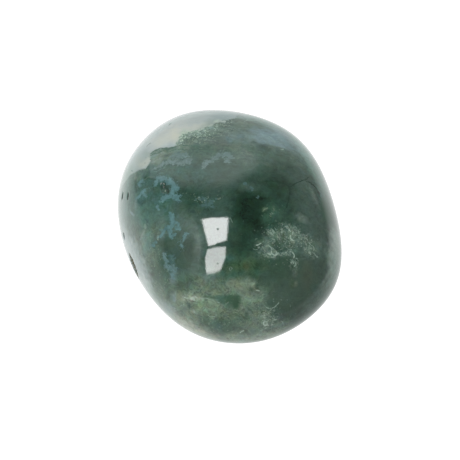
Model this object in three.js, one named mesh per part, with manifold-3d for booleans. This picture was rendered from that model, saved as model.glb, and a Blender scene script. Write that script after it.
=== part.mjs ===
// A tumbled moss agate pebble, in millimetres, +Z up, resting on its flattest side.
//
// The pebble is one solid. It began as a broken lump, and hours of tumbling with grit rounded it off, so its
// form here is that of a flattened egg against which a few flat faces have been worn. The origin is on the
// surface that it rests on, under the middle of its outline. +Y is its long way and +Z its thickness.
import * as THREE from "three";
import { mergeVertices } from "three/addons/utils/BufferGeometryUtils.js";
import Module from "manifold-3d";

const wasm = await Module();
wasm.setup();

// Driving dimensions of the lump: half its length, breadth and thickness, and how far its length is turned
// about Z from +X, in degrees.
const HALF_LENGTH = 23;
const HALF_BREADTH = 19;
const HALF_THICKNESS = 12.5;
const LENGTH_TURN = 145;

// The worn faces. Each looks out at a turn about Z from +X and a tilt above the horizon, in degrees, and lies
// at a distance from the lump's centre.
const WORN_FACES = [
  { name: "right flank", turn: 10, tilt: 10, distance: 18.4 },
  { name: "right flank, low", turn: 320, tilt: -25, distance: 21.6 },
  { name: "near end, low", turn: 265, tilt: -35, distance: 27 },
  { name: "near left shoulder", turn: 205, tilt: 15, distance: 15.3 },
  { name: "near left, low", turn: 215, tilt: -25, distance: 18.3 },
  { name: "left flank", turn: 180, tilt: 0, distance: 17.5 },
  { name: "far left shoulder", turn: 145, tilt: 25, distance: 18.2 },
  { name: "far end", turn: 90, tilt: 30, distance: 21 },
  { name: "crown", turn: 200, tilt: 80, distance: 14 },
  { name: "underside", turn: 40, tilt: -84, distance: 14.5 },
];

// The power that blends the lump and the faces. A lower one wears the shoulders between them rounder.
const ROUNDING = 7;

// How much the resting side is ground off to the flat that the pebble stands on.
const FOOT_CUT = 0.3;

// Open pits in the polish, where soft moss tore out of the stone. Each is an oval bowl at a turn and a tilt seen
// from the lump's centre, and lean turns its long way up from level.
const PITS = [
  { name: "flank vug", turn: 205.5, tilt: -8.8, length: 4.2, width: 2.3, depth: 0.9, lean: -31 },
  { name: "flank pit", turn: 187.5, tilt: -3, length: 1.1, width: 0.8, depth: 0.4, lean: -42 },
  { name: "shoulder nick", turn: 169.5, tilt: 12, length: 1.35, width: 0.6, depth: 0.25, lean: -50 },
  { name: "upper shoulder nick", turn: 174.3, tilt: 21.6, length: 1.3, width: 0.5, depth: 0.2, lean: -27 },
  { name: "crown pit", turn: 180, tilt: 51.2, length: 2.1, width: 1.5, depth: 0.4, lean: 15 },
];

// The splits of each icosahedron edge, for the pebble and for a pit, and how near two of its corners are one.
const STONE_DETAIL = 15;
const PIT_DETAIL = 4;
const MERGE_WITHIN = 1e-5;

const AGATE_GREEN = 0x3a5546;
const POLISHED = 0.06;

const UP = new THREE.Vector3(0, 0, 1);

// The unit vector at a turn about Z from +X and a tilt above the horizon, both in degrees.
function facing(turn, tilt) {
  const polar = THREE.MathUtils.degToRad(90 - tilt);
  const around = THREE.MathUtils.degToRad(turn);
  return new THREE.Vector3(
    Math.sin(polar) * Math.cos(around),
    Math.sin(polar) * Math.sin(around),
    Math.cos(polar),
  );
}

const toLump = new THREE.Matrix4().makeRotationZ(-THREE.MathUtils.degToRad(LENGTH_TURN));
const lumpScale = new THREE.Vector3(1 / HALF_LENGTH, 1 / HALF_BREADTH, 1 / HALF_THICKNESS);
const faceScales = WORN_FACES.map((face) => facing(face.turn, face.tilt).divideScalar(face.distance));

// How far the surface lies from the centre along a unit direction. The lump and each face that the direction
// meets are the terms of one power sum, which is 1 on the surface.
function reach(direction) {
  const inLump = direction.clone().applyMatrix4(toLump).multiply(lumpScale);
  let sum = inLump.length() ** ROUNDING;
  for (const scaled of faceScales) sum += Math.max(direction.dot(scaled), 0) ** ROUNDING;
  return sum ** (-1 / ROUNDING);
}

function surfacePoint(direction) {
  return direction.clone().multiplyScalar(reach(direction));
}

// The outward normal at the surface point in a direction, from two points a short step to each side of it.
function outwardNormal(direction) {
  const step = 0.01;
  const level = new THREE.Vector3().crossVectors(UP, direction).normalize();
  const rising = new THREE.Vector3().crossVectors(direction, level);
  const across = (along) =>
    surfacePoint(direction.clone().addScaledVector(along, step).normalize()).sub(
      surfacePoint(direction.clone().addScaledVector(along, -step).normalize()),
    );
  return across(level).cross(across(rising)).normalize();
}

// A closed geometry as a solid that can be cut.
function solidOf(geometry) {
  const bare = geometry.clone();
  bare.deleteAttribute("normal");
  bare.deleteAttribute("uv");
  const merged = mergeVertices(bare, MERGE_WITHIN);
  const triVerts = new Uint32Array(merged.index.array);
  const vertProperties = new Float32Array(merged.attributes.position.array);
  return new wasm.Manifold(new wasm.Mesh({ numProp: 3, vertProperties, triVerts }));
}

function geometryOf(solid) {
  const mesh = solid.getMesh();
  const geometry = new THREE.BufferGeometry();
  geometry.setAttribute("position", new THREE.BufferAttribute(mesh.vertProperties, 3));
  geometry.setIndex(new THREE.BufferAttribute(mesh.triVerts, 1));
  geometry.computeVertexNormals();
  return geometry;
}

// The rounded lump: an icosphere whose every vertex is moved out to the surface.
function wornLump() {
  const geometry = new THREE.IcosahedronGeometry(1, STONE_DETAIL);
  const place = geometry.attributes.position;
  const vertex = new THREE.Vector3();
  for (let i = 0; i < place.count; i += 1) {
    vertex.fromBufferAttribute(place, i).normalize();
    vertex.multiplyScalar(reach(vertex));
    place.setXYZ(i, vertex.x, vertex.y, vertex.z);
  }
  geometry.computeBoundingBox();
  return geometry;
}

// The solid that a pit takes away: an oval ball half sunk in the surface, with its long way turned by lean.
function pitCutter(pit) {
  const direction = facing(pit.turn, pit.tilt);
  const normal = outwardNormal(direction);
  const level = new THREE.Vector3().crossVectors(UP, normal).normalize();
  const along = level.applyAxisAngle(normal, THREE.MathUtils.degToRad(pit.lean));
  const beside = new THREE.Vector3().crossVectors(normal, along);
  const turned = new THREE.Matrix4().makeBasis(along, beside, normal).setPosition(surfacePoint(direction));
  return new THREE.IcosahedronGeometry(1, PIT_DETAIL)
    .scale(pit.length / 2, pit.width / 2, pit.depth)
    .applyMatrix4(turned);
}

// A block whose top face grinds the foot flat, at footHeight, and which is wider than the lump all round.
function footGrinder(footHeight) {
  const size = 3 * HALF_LENGTH;
  return new THREE.BoxGeometry(size, size, size).translate(0, 0, footHeight - size / 2);
}

function mossAgate() {
  const lump = wornLump();
  const { min, max } = lump.boundingBox;
  const footHeight = min.z + FOOT_CUT;

  let stone = solidOf(lump).subtract(solidOf(footGrinder(footHeight)));
  for (const pit of PITS) stone = stone.subtract(solidOf(pitCutter(pit)));

  const geometry = geometryOf(stone);
  geometry.translate(-(min.x + max.x) / 2, -(min.y + max.y) / 2, -footHeight);
  const material = new THREE.MeshStandardMaterial({ color: AGATE_GREEN, roughness: POLISHED, metalness: 0 });
  const mesh = new THREE.Mesh(geometry, material);
  mesh.name = "moss_agate";
  return mesh;
}

const part = new THREE.Group();
part.add(mossAgate());

export default part;
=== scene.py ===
# A tumbled and polished moss agate pebble on a white table, looked down on at the angle of the picture.
#
# Lengths are worked out in millimetres, as the stone's own form is, and become metres where a mesh is made.
import math
import bpy
import numpy as np
from mathutils import Matrix, Vector


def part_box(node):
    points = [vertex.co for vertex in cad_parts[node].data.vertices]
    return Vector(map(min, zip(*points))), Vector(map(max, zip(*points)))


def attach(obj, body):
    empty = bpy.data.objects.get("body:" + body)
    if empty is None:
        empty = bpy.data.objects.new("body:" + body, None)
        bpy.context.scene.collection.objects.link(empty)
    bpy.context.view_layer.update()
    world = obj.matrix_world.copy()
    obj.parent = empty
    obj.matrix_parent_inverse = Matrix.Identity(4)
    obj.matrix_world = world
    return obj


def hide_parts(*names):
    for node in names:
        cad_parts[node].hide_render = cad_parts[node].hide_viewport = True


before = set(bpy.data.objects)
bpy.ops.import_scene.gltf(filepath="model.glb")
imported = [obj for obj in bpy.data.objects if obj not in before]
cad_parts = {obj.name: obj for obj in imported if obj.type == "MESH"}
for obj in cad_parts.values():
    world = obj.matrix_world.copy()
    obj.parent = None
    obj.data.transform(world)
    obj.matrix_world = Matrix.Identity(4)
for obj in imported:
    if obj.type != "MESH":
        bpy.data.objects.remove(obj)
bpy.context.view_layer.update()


# The camera
#
# A long lens well above the table looks down at the pebble and a little past its middle. The picture plane
# is the one through the point that it looks at. Markings are placed on it, in pixels of a square picture.
MM = 0.001
PICTURE_PIXELS = 460
PICTURE_WIDTH = 70.7
PIXEL = PICTURE_WIDTH / PICTURE_PIXELS
CAMERA_TILT = math.radians(60)
CAMERA_DISTANCE = 500.0
SENSOR_WIDTH = 36.0
LOOK_RIGHT = 0.15
LOOK_UP = -0.94
# How near and how far the camera sees, in metres.
NEAREST = 0.01
FARTHEST = 20.0

picture_right = np.array([1.0, 0.0, 0.0])
picture_up = np.array([0.0, math.sin(CAMERA_TILT), math.cos(CAMERA_TILT)])
picture_near = np.array([0.0, -math.cos(CAMERA_TILT), math.sin(CAMERA_TILT)])

box_low, box_high = (np.array(corner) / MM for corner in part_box("moss_agate"))
box_middle = (box_low + box_high) / 2
look_point = box_middle + LOOK_RIGHT * picture_right + LOOK_UP * picture_up
camera_place = look_point + CAMERA_DISTANCE * picture_near


def placed(name, data):
    """A new object of the scene, at the origin."""
    made = bpy.data.objects.new(name, data)
    bpy.context.scene.collection.objects.link(made)
    return made


camera = placed("camera", bpy.data.cameras.new("camera"))
camera.data.sensor_width = SENSOR_WIDTH
camera.data.lens = SENSOR_WIDTH * CAMERA_DISTANCE / PICTURE_WIDTH
camera.data.clip_start = NEAREST
camera.data.clip_end = FARTHEST
camera.matrix_world = Matrix.Translation(Vector(camera_place * MM)) @ Matrix(
    np.column_stack([picture_right, picture_up, picture_near]).tolist()
).to_4x4()
bpy.context.scene.camera = camera


# The pebble's form
#
# One lump of chalcedony, broken small and then tumbled with grit for weeks until it was round all over. It
# is a flattened egg against which a few flat faces have been worn, and the same values shape the solid.
HALF_LENGTH = 23.0
HALF_BREADTH = 19.0
HALF_THICKNESS = 12.5
LENGTH_TURN = 145.0
ROUNDING = 7
FOOT_CUT = 0.3
SLOPE_STEP = 1e-3
# Each worn face: the turn about Z and the tilt that it looks out at, in degrees, and its distance.
WORN_FACES = [
    (10, 10, 18.4),
    (320, -25, 21.6),
    (265, -35, 27),
    (205, 15, 15.3),
    (215, -25, 18.3),
    (180, 0, 17.5),
    (145, 25, 18.2),
    (90, 30, 21),
    (200, 80, 14),
    (40, -84, 14.5),
]


def facing(turn, tilt):
    """The unit vector at a turn about Z from +X and a tilt above the horizon, in degrees."""
    turn, tilt = np.radians(turn), np.radians(tilt)
    return np.stack([np.cos(tilt) * np.cos(turn), np.cos(tilt) * np.sin(turn), np.sin(tilt)], axis=-1)


egg_axes = np.array([facing(LENGTH_TURN, 0), facing(LENGTH_TURN + 90, 0), facing(0, 90)])
egg_axes /= np.array([[HALF_LENGTH], [HALF_BREADTH], [HALF_THICKNESS]])
face_axes = np.array([facing(turn, tilt) / distance for turn, tilt, distance in WORN_FACES])


def gauge(points):
    """How far out points lie: the ROUNDING-th root of a power sum, of the distance from the middle in the
    egg's half sizes and of the share of each worn face's distance reached. It is 1 on the surface."""
    egg = np.linalg.norm(points @ egg_axes.T, axis=-1)
    faces = np.maximum(points @ face_axes.T, 0)
    return (egg**ROUNDING + (faces**ROUNDING).sum(axis=-1)) ** (1 / ROUNDING)


def outward(points):
    """The unit normal of the surface through points: the gauge's slope along each axis, by small steps."""
    steps = SLOPE_STEP * np.eye(3)
    slope = np.stack([gauge(points + step) - gauge(points - step) for step in steps], axis=-1)
    return slope / np.linalg.norm(slope, axis=-1, keepdims=True)


# The mesh is finest on the side that faces FINE_SIDE: every direction of the even grid is pulled towards it.
GRID_SIDE = 128
FINE_SIDE = (230, 55)
FINE_PULL = 0.45
# Points that agree in so many decimals are one.
SAME_DECIMALS = 7


def sphere_grid(side):
    """Directions and quads of a cube blown up to a ball. A point of each cube face is the tangent of two
    even angles from -45 to 45 degrees, and the points that two faces share along an edge are made one."""
    edge = np.tan(np.linspace(-np.pi / 4, np.pi / 4, side + 1))
    across, up = np.meshgrid(edge, edge, indexing="ij")
    ahead = np.ones_like(across)
    points, quads = [], []
    corner = np.arange((side + 1) ** 2).reshape(side + 1, side + 1)
    cell = np.stack([corner[:-1, :-1], corner[1:, :-1], corner[1:, 1:], corner[:-1, 1:]], axis=-1)
    cell = cell.reshape(-1, 4)
    for axis in range(3):
        for sign in (1, -1):
            face = np.empty((side + 1, side + 1, 3))
            face[..., axis] = sign * ahead
            face[..., (axis + 1) % 3] = across
            face[..., (axis + 2) % 3] = up
            quads.append(cell[:, ::sign] + len(points) * corner.size)
            points.append(face.reshape(-1, 3))
    points = np.concatenate(points)
    points /= np.linalg.norm(points, axis=1, keepdims=True)
    rounded = np.round(points, SAME_DECIMALS)
    _, first, shared = np.unique(rounded, axis=0, return_index=True, return_inverse=True)
    return points[first], shared.reshape(-1)[np.concatenate(quads)]


directions, stone_quads = sphere_grid(GRID_SIDE)
directions = directions + FINE_PULL * facing(*FINE_SIDE)
directions /= np.linalg.norm(directions, axis=1, keepdims=True)
stone_points = directions / gauge(directions)[:, None]
stone_low, stone_high = stone_points.min(axis=0), stone_points.max(axis=0)
lump_middle = -(stone_low + stone_high) / 2
lump_middle[2] = -(stone_low[2] + FOOT_CUT)


# The open pits
#
# Where soft moss tore out of the stone while it was tumbled, the polish breaks off into a rough bowl. They
# are the pits that the solid has, here with ragged rims and grainy floors.
# Each pit: the turn and tilt of its middle from the lump's, its length, width and depth, and its lean.
PITS = {
    "flank vug": (205.5, -8.8, 4.2, 2.3, 0.9, -31),
    "flank pit": (187.5, -3, 1.1, 0.8, 0.4, -42),
    "shoulder nick": (169.5, 12, 1.35, 0.6, 0.25, -50),
    "upper shoulder nick": (174.3, 21.6, 1.3, 0.5, 0.2, -27),
    "crown pit": (180, 51.2, 2.1, 1.5, 0.4, 15),
}
# What the floors show: brown moss in the vug, green moss at the crown, and near black in the others.
BROWN_FLOOR = (0.15, 0.145, 0.08)
GREEN_FLOOR = (0.035, 0.09, 0.065)
DARK_FLOOR = (0.03, 0.035, 0.025)
PIT_FLOORS = {"flank vug": BROWN_FLOOR, "crown pit": GREEN_FLOOR}
FLOOR_GRAINS = (0.7, 0, 0)
RIM_WEAR = 0.05
RIM_RAGGEDNESS = 0.07
FLOOR_GRAIN = 0.035
FLOOR_SHOWS = 0.06
# How far out of its middle a bowl reaches, in its own half sizes.
BOWL_REACH = 1.4
# Each ripple: its size in millimetres and its seed.
RIM_RIPPLE = (0.8, 11)
FLOOR_RIPPLE = (0.45, 12)
WAVES = 24
WAVE_SPREAD = (0.7, 1.6)


def ripple(points, size, seed):
    """Smooth random values of spread 1: a sum of cosine waves about one size long, in random directions."""
    draw = np.random.default_rng(seed)
    ways = draw.normal(size=(3, WAVES))
    ways *= 2 * np.pi / (size * draw.uniform(*WAVE_SPREAD, WAVES) * np.linalg.norm(ways, axis=0))
    return math.sqrt(2 / WAVES) * np.cos(points @ ways + draw.uniform(0, 2 * np.pi, WAVES)).sum(axis=1)


def smooth(value, low, high):
    """0 below low and 1 above high, and between them 3t² - 2t³ of the share t of the way."""
    share = np.clip((value - low) / (high - low), 0, 1)
    return share * share * (3 - 2 * share)


def sunk(points, turn, tilt, length, width, depth, lean):
    """Points moved inwards onto the bowl of a pit: half an oval ball, whose depth is the pit's times the root
    of 1 less the squared distance from its middle in its half sizes. The lower of the bowl and the polished
    surface counts, and where they lie within RIM_WEAR of each other the corner is worn off."""
    middle = facing(turn, tilt)
    middle = middle / gauge(middle)
    normal = outward(middle)
    level = np.cross([0, 0, 1], normal)
    level /= np.linalg.norm(level)
    lean = math.radians(lean)
    along = math.cos(lean) * level + math.sin(lean) * np.cross(normal, level)
    beside = np.cross(normal, along)
    offset = points - middle
    height = offset @ normal
    out = np.hypot(offset @ along / (length / 2), offset @ beside / (width / 2))
    out *= 1 + RIM_RAGGEDNESS * ripple(points, *RIM_RIPPLE)
    grains = FLOOR_GRAIN * ripple(points, *FLOOR_RIPPLE) * (out < 1)
    floor = -depth * np.sqrt(np.maximum(1 - out**2, 0)) - grains
    wear = np.maximum(RIM_WEAR - np.abs(height - floor), 0) ** 2 / (4 * RIM_WEAR)
    near = (out < BOWL_REACH) & (np.abs(height) < depth)
    lowered = np.where(near, np.minimum(height, floor) - wear, height)
    return points + (lowered - height)[:, None] * normal


polished_points = stone_points
pit_floor = np.zeros_like(stone_points)
pit_cover = np.zeros(len(stone_points))
for name, form in PITS.items():
    before = stone_points
    stone_points = sunk(stone_points, *form)
    cover = smooth(np.linalg.norm(stone_points - before, axis=1), 0, FLOOR_SHOWS)
    pit_cover = np.maximum(pit_cover, cover)
    pit_floor[cover > 0] = PIT_FLOORS.get(name, DARK_FLOOR)
stone_points += lump_middle
stone_points[:, 2] = np.maximum(stone_points[:, 2], 0)

stone_mesh = bpy.data.meshes.new("polished_agate")
stone_mesh.from_pydata((stone_points * MM).tolist(), [], stone_quads.tolist())
stone_mesh.polygons.foreach_set("use_smooth", [True] * len(stone_mesh.polygons))
stone_mesh.validate()
stone = placed("polished_agate", stone_mesh)


def mark(name, values):
    """Keeps a number or a colour for every vertex of the stone, under the name that its material reads."""
    kind, field = ("FLOAT", "value") if values.ndim == 1 else ("FLOAT_COLOR", "color")
    if values.ndim > 1:
        values = np.column_stack([values[:, :3], np.ones(len(values))])
    attribute = stone_mesh.attributes.new(name, kind, "POINT")
    attribute.data.foreach_set(field, values.astype(np.float32).ravel())


mark("pit", pit_cover)


# The milk and the moss
#
# Grey chalcedony, milky at one corner, in which green moss of chlorite grew in clumps, thin here and dense
# there. A soft patch stands for each clump, placed where the picture shows it, and on the side turned away
# where the stone would show it from behind. Patches along the limbs also paint in the glow of light through
# the thin edge.
# Each kind of stone: its colour, and its shares of grain, of fibres and of streaks.
MILK = (0.43, 0.53, 0.53, 0.05, 0, 0.15)
BLUE_MILK = (0.44, 0.59, 0.63, 0.05, 0, 0.15)
LILAC_MILK = (0.585, 0.655, 0.63, 0.05, 0, 0.15)
CREAM = (0.66, 0.70, 0.60, 0.2, 0, 0.2)
MINT = (0.50, 0.61, 0.51, 0.6, 0.1, 0)
PALE_EDGE = (0.43, 0.49, 0.38, 0.7, 0.3, 0.3)
# The skins are the stone's own paler edge, with painted light in them where they lie along the limb: the glow
# of light through the thin translucent edge.
MILKY_SKIN_AND_RIM_GLOW = (0.43, 0.52, 0.52, 0.2, 0.1, 0.4)
PALE_SKIN_AND_RIM_GLOW = (0.27, 0.37, 0.35, 0.35, 0.15, 0.3)
MINT_SKIN_AND_RIM_GLOW = (0.30, 0.43, 0.36, 0.35, 0.15, 0.3)
PALE_FOOT = (0.25, 0.345, 0.25, 0.9, 0.7, 0.2)
UNDER_MILK = (0.26, 0.355, 0.295, 0.6, 0.2, 0.9)
PALE_MOSS = (0.24, 0.335, 0.28, 0.45, 0.2, 0.9)
BLUE_HAZE = (0.235, 0.355, 0.37, 0.3, 0.1, 0.6)
TEAL_SKIN_AND_RIM_GLOW = (0.155, 0.345, 0.295, 0.3, 0.1, 0.6)
GREEN_SKIN = (0.07, 0.225, 0.165, 0.5, 0.1, 0.6)
DARK_SKIN = (0.024, 0.10, 0.055, 0.3, 0.1, 0.3)
CLUMP = (0.37, 0.44, 0.31, 1.3, 0.2, 0)
GREY_MOSS = (0.145, 0.215, 0.18, 0.35, 0.1, 1.0)
LILAC_GREY = (0.13, 0.165, 0.155, 0.35, 0.1, 0.6)
BAND_MOSS = (0.11, 0.205, 0.17, 0.4, 0.1, 0.3)
SEA_MOSS = (0.10, 0.17, 0.135, 0.45, 0.2, 0.8)
SLATE_MOSS = (0.058, 0.110, 0.086, 0.3, 0.1, 0.8)
TEAL_MOSS = (0.046, 0.125, 0.100, 0.8, 0.3, 0.2)
BOTTLE_MOSS = (0.040, 0.088, 0.065, 0.7, 0.3, 0.2)
SMOKE_MOSS = (0.044, 0.090, 0.060, 0.35, 0.1, 0.3)
DARK_MOSS = (0.018, 0.054, 0.033, 0.8, 0.2, 0.1)
DEEP_MOSS = (0.009, 0.030, 0.017, 1.0, 0.2, 0.1)
LEAF_MOSS = (0.045, 0.12, 0.077, 0.7, 0.3, 0.2)
LEAF_HEART = (0.036, 0.10, 0.055, 0.4, 0.2, 0.1)
FERN_MOSS = (0.052, 0.108, 0.052, 0.9, 0.5, 0.1)
OLIVE_MOSS = (0.12, 0.19, 0.132, 0.95, 0.7, 0.1)
PALE_OLIVE = (0.205, 0.30, 0.21, 0.9, 0.8, 0.1)
BEIGE_MOSS = (0.165, 0.225, 0.155, 0.6, 0.4, 0.2)
BROWN_MOSS = (0.085, 0.085, 0.045, 0.6, 0.2, 0.1)
HAZE = (0.085, 0.145, 0.108, 1.1, 0.5, 0.1)
PALE_HAZE = (0.14, 0.215, 0.165, 1.2, 0.6, 0.1)

# Each patch: its middle, half sizes and lean on the picture, the softness of its edge, its kind and strength.
FRONT_PATCHES = {
    "grey top": ((236, 136), (100, 25), -8, 0.4, GREY_MOSS, 1),
    "pale under the milk": ((161, 153), (22, 6.5), 12, 0.8, UNDER_MILK, 1),
    "pale at its low end": ((146, 166), (13, 6.5), 48, 0.8, UNDER_MILK, 0.9),
    "pale in its bend": ((183, 145), (13, 7), 25, 0.8, UNDER_MILK, 0.8),
    "mint under the fringe": ((184.4, 136.4), (10, 3.8), 40, 0.8, MINT_SKIN_AND_RIM_GLOW, 0.7),
    "mint under the top fringe": ((204, 130.6), (13, 3), 12, 0.8, MINT_SKIN_AND_RIM_GLOW, 0.9),
    "sea band": ((232, 154), (64, 10), 0, 0.6, SEA_MOSS, 1),
    "right shoulder": ((308, 168), (18, 34), 20, 0.7, SEA_MOSS, 0.8),
    "slate middle": ((216, 176), (68, 15), 0, 0.7, SLATE_MOSS, 1),
    "sea in the slate": ((256, 163), (16, 8), 0, 0.8, SEA_MOSS, 0.4),
    "teal top limb": ((274, 121), (42, 7), -32, 0.9, TEAL_SKIN_AND_RIM_GLOW, 0.75),
    "teal far limb": ((247, 114), (14, 5), -12, 0.9, TEAL_SKIN_AND_RIM_GLOW, 0.8),
    "teal limb on the right": ((307, 150), (20, 7), -52, 0.9, TEAL_SKIN_AND_RIM_GLOW, 0.9),
    "dark under the shoulder": ((283, 161), (16, 6), -22, 0.8, SMOKE_MOSS, 0.55),
    "blue lens": ((270, 135), (18, 7), -12, 0.8, BLUE_HAZE, 1),
    "blue lens foot": ((261, 140.6), (7, 3), 0, 0.9, BLUE_HAZE, 0.5),
    "blue lens tail": ((288, 142), (14, 6), -38, 0.8, BLUE_HAZE, 0.6),
    "blue top right": ((240, 138), (16, 7), 0, 0.8, BLUE_HAZE, 0.3),
    "left teal": ((152, 199), (26, 33), 0, 0.5, TEAL_MOSS, 1),
    "teal under the milk": ((184, 176), (28, 11), 0, 0.6, TEAL_MOSS, 0.9),
    "dark teal right of the pit": ((190, 190), (13, 16), 0, 0.8, BOTTLE_MOSS, 0.95),
    "left sea": ((156, 238), (30, 20), 0, 0.8, SEA_MOSS, 0.9),
    "left grey": ((145, 245), (11, 22), -10, 0.8, PALE_HAZE, 0.5),
    "sea beside the window": ((199, 243), (9, 26), 0, 0.8, SEA_MOSS, 0.5),
    "left dark": ((183, 252), (20, 15), -20, 0.7, BOTTLE_MOSS, 0.9),
    "left dark heart": ((189, 254), (8, 13), 0, 0.8, SMOKE_MOSS, 0.7),
    "leaf strip": ((158, 274), (9, 24), 22, 0.7, LEAF_MOSS, 0.9),
    "near left grey": ((194, 272), (26, 10), 0, 0.8, SEA_MOSS, 0.8),
    "core": ((249, 216), (18, 33), 8, 0.4, DARK_MOSS, 1),
    "core heart": ((250, 217), (14, 21), 12, 0.6, DEEP_MOSS, 1),
    "core shoulder": ((257, 202), (15, 5), 8, 0.6, DEEP_MOSS, 0.9),
    "core foot": ((242, 240), (12, 15), 0, 0.6, DARK_MOSS, 0.9),
    "dark right": ((281, 187), (23, 18), -8, 0.7, DARK_MOSS, 1),
    "dark right heart": ((283, 187), (12, 7), 0, 0.8, DEEP_MOSS, 0.4),
    "green fleck ground": ((270, 213), (8, 10), 0, 0.8, LEAF_MOSS, 0.75),
    "dark right of the fleck": ((292, 208), (10, 12), 0, 0.8, DARK_MOSS, 0.5),
    "right grey": ((309, 200), (14, 20), 0, 0.7, BOTTLE_MOSS, 0.7),
    "right grey high": ((308, 188), (8, 8), 20, 0.8, SEA_MOSS, 0.15),
    "pale right arc": ((301, 218.5), (8, 3), -22, 0.7, PALE_MOSS, 0.45),
    "right green": ((312, 230), (14, 24), 0, 0.8, SLATE_MOSS, 0.6),
    "haze": ((290, 244), (29, 12.5), -8, 0.6, HAZE, 1),
    "haze crown": ((293, 236), (10, 6), -20, 0.8, PALE_HAZE, 0.7),
    "haze left": ((268, 245), (7, 6), 0, 0.8, PALE_HAZE, 0.6),
    "haze foot": ((272, 254), (8, 4), 0, 0.8, PALE_HAZE, 0.7),
    "haze hollow": ((277.5, 245), (6, 5), 0, 0.7, BOTTLE_MOSS, 0.8),
    "second haze hollow": ((288, 246), (4, 4.5), 0, 0.7, BOTTLE_MOSS, 0.7),
    "haze right": ((309, 246), (11, 7), -55, 0.8, HAZE, 0.5),
    "fern": ((245, 268), (24, 12), 0, 0.8, FERN_MOSS, 0.9),
    "smooth right": ((293, 285), (32, 27), 0, 0.4, SMOKE_MOSS, 1),
    "olive bottom": ((211, 301), (56, 26), 0, 0.5, OLIVE_MOSS, 1),
    "olive right": ((252, 302), (14, 24), 30, 0.6, OLIVE_MOSS, 0.9),
    "pale olive": ((204, 303), (22, 10), 5, 0.8, PALE_OLIVE, 0.6),
    "beige patch": ((243, 286), (13, 7), 5, 0.7, BEIGE_MOSS, 0.9),
    "bottom edge": ((252, 339), (46, 8), 8, 0.8, PALE_FOOT, 0.9),
    "bottom left edge": ((193.6, 331.6), (27, 7), -32, 0.8, PALE_EDGE, 1),
    "speckled right end": ((267, 323), (12, 8), 20, 0.8, PALE_HAZE, 0.6),
    # Round the limbs: the paler skin, with the glow of light through the thin edge painted in.
    "left skin": ((133.6, 256), (32, 7), -66, 0.8, PALE_SKIN_AND_RIM_GLOW, 0.95),
    "low left skin": ((148.6, 292), (26, 4), -52, 0.9, MINT_SKIN_AND_RIM_GLOW, 0.8),
    "left high skin": ((120, 214), (5, 34), 0, 0.8, PALE_SKIN_AND_RIM_GLOW, 0.6),
    "blue left limb": ((121, 206), (6, 13), 0, 0.8, BLUE_HAZE, 0.9),
    "milky left limb": ((126, 252.6), (34, 8), -65, 0.9, MILKY_SKIN_AND_RIM_GLOW, 0.95),
    "milky low left limb": ((140.4, 286), (17, 4.4), -58, 0.9, MILKY_SKIN_AND_RIM_GLOW, 0.9),
    "pale below the vug": ((140.6, 281), (8, 4), -60, 0.8, LILAC_MILK, 0.8),
    "pale under the milk's end": ((132, 177), (7, 3.6), 45, 0.9, UNDER_MILK, 0.5),
    "milky far limb": ((238, 112), (13, 5), -10, 0.9, MILKY_SKIN_AND_RIM_GLOW, 0.6),
    "milky right limb": ((338, 244), (7, 9), -3, 0.9, LILAC_MILK, 0.6),
    "mint low right limb": ((333, 283), (6, 20), -25, 0.9, MINT_SKIN_AND_RIM_GLOW, 0.8),
    "pale high left": ((124, 183), (9, 12), 0, 0.9, MINT_SKIN_AND_RIM_GLOW, 0.7),
    "right skin": ((339, 252), (8.5, 32), -3, 0.9, MINT_SKIN_AND_RIM_GLOW, 0.95),
    "green right limb": ((322, 180), (6, 20), 24, 0.9, GREEN_SKIN, 0.9),
    "dark right limb": ((329, 212), (6.5, 13), 18, 0.8, DARK_SKIN, 0.95),
    "low right skin": ((318, 300), (26, 6), 48, 0.9, SEA_MOSS, 0.8),
}
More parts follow.
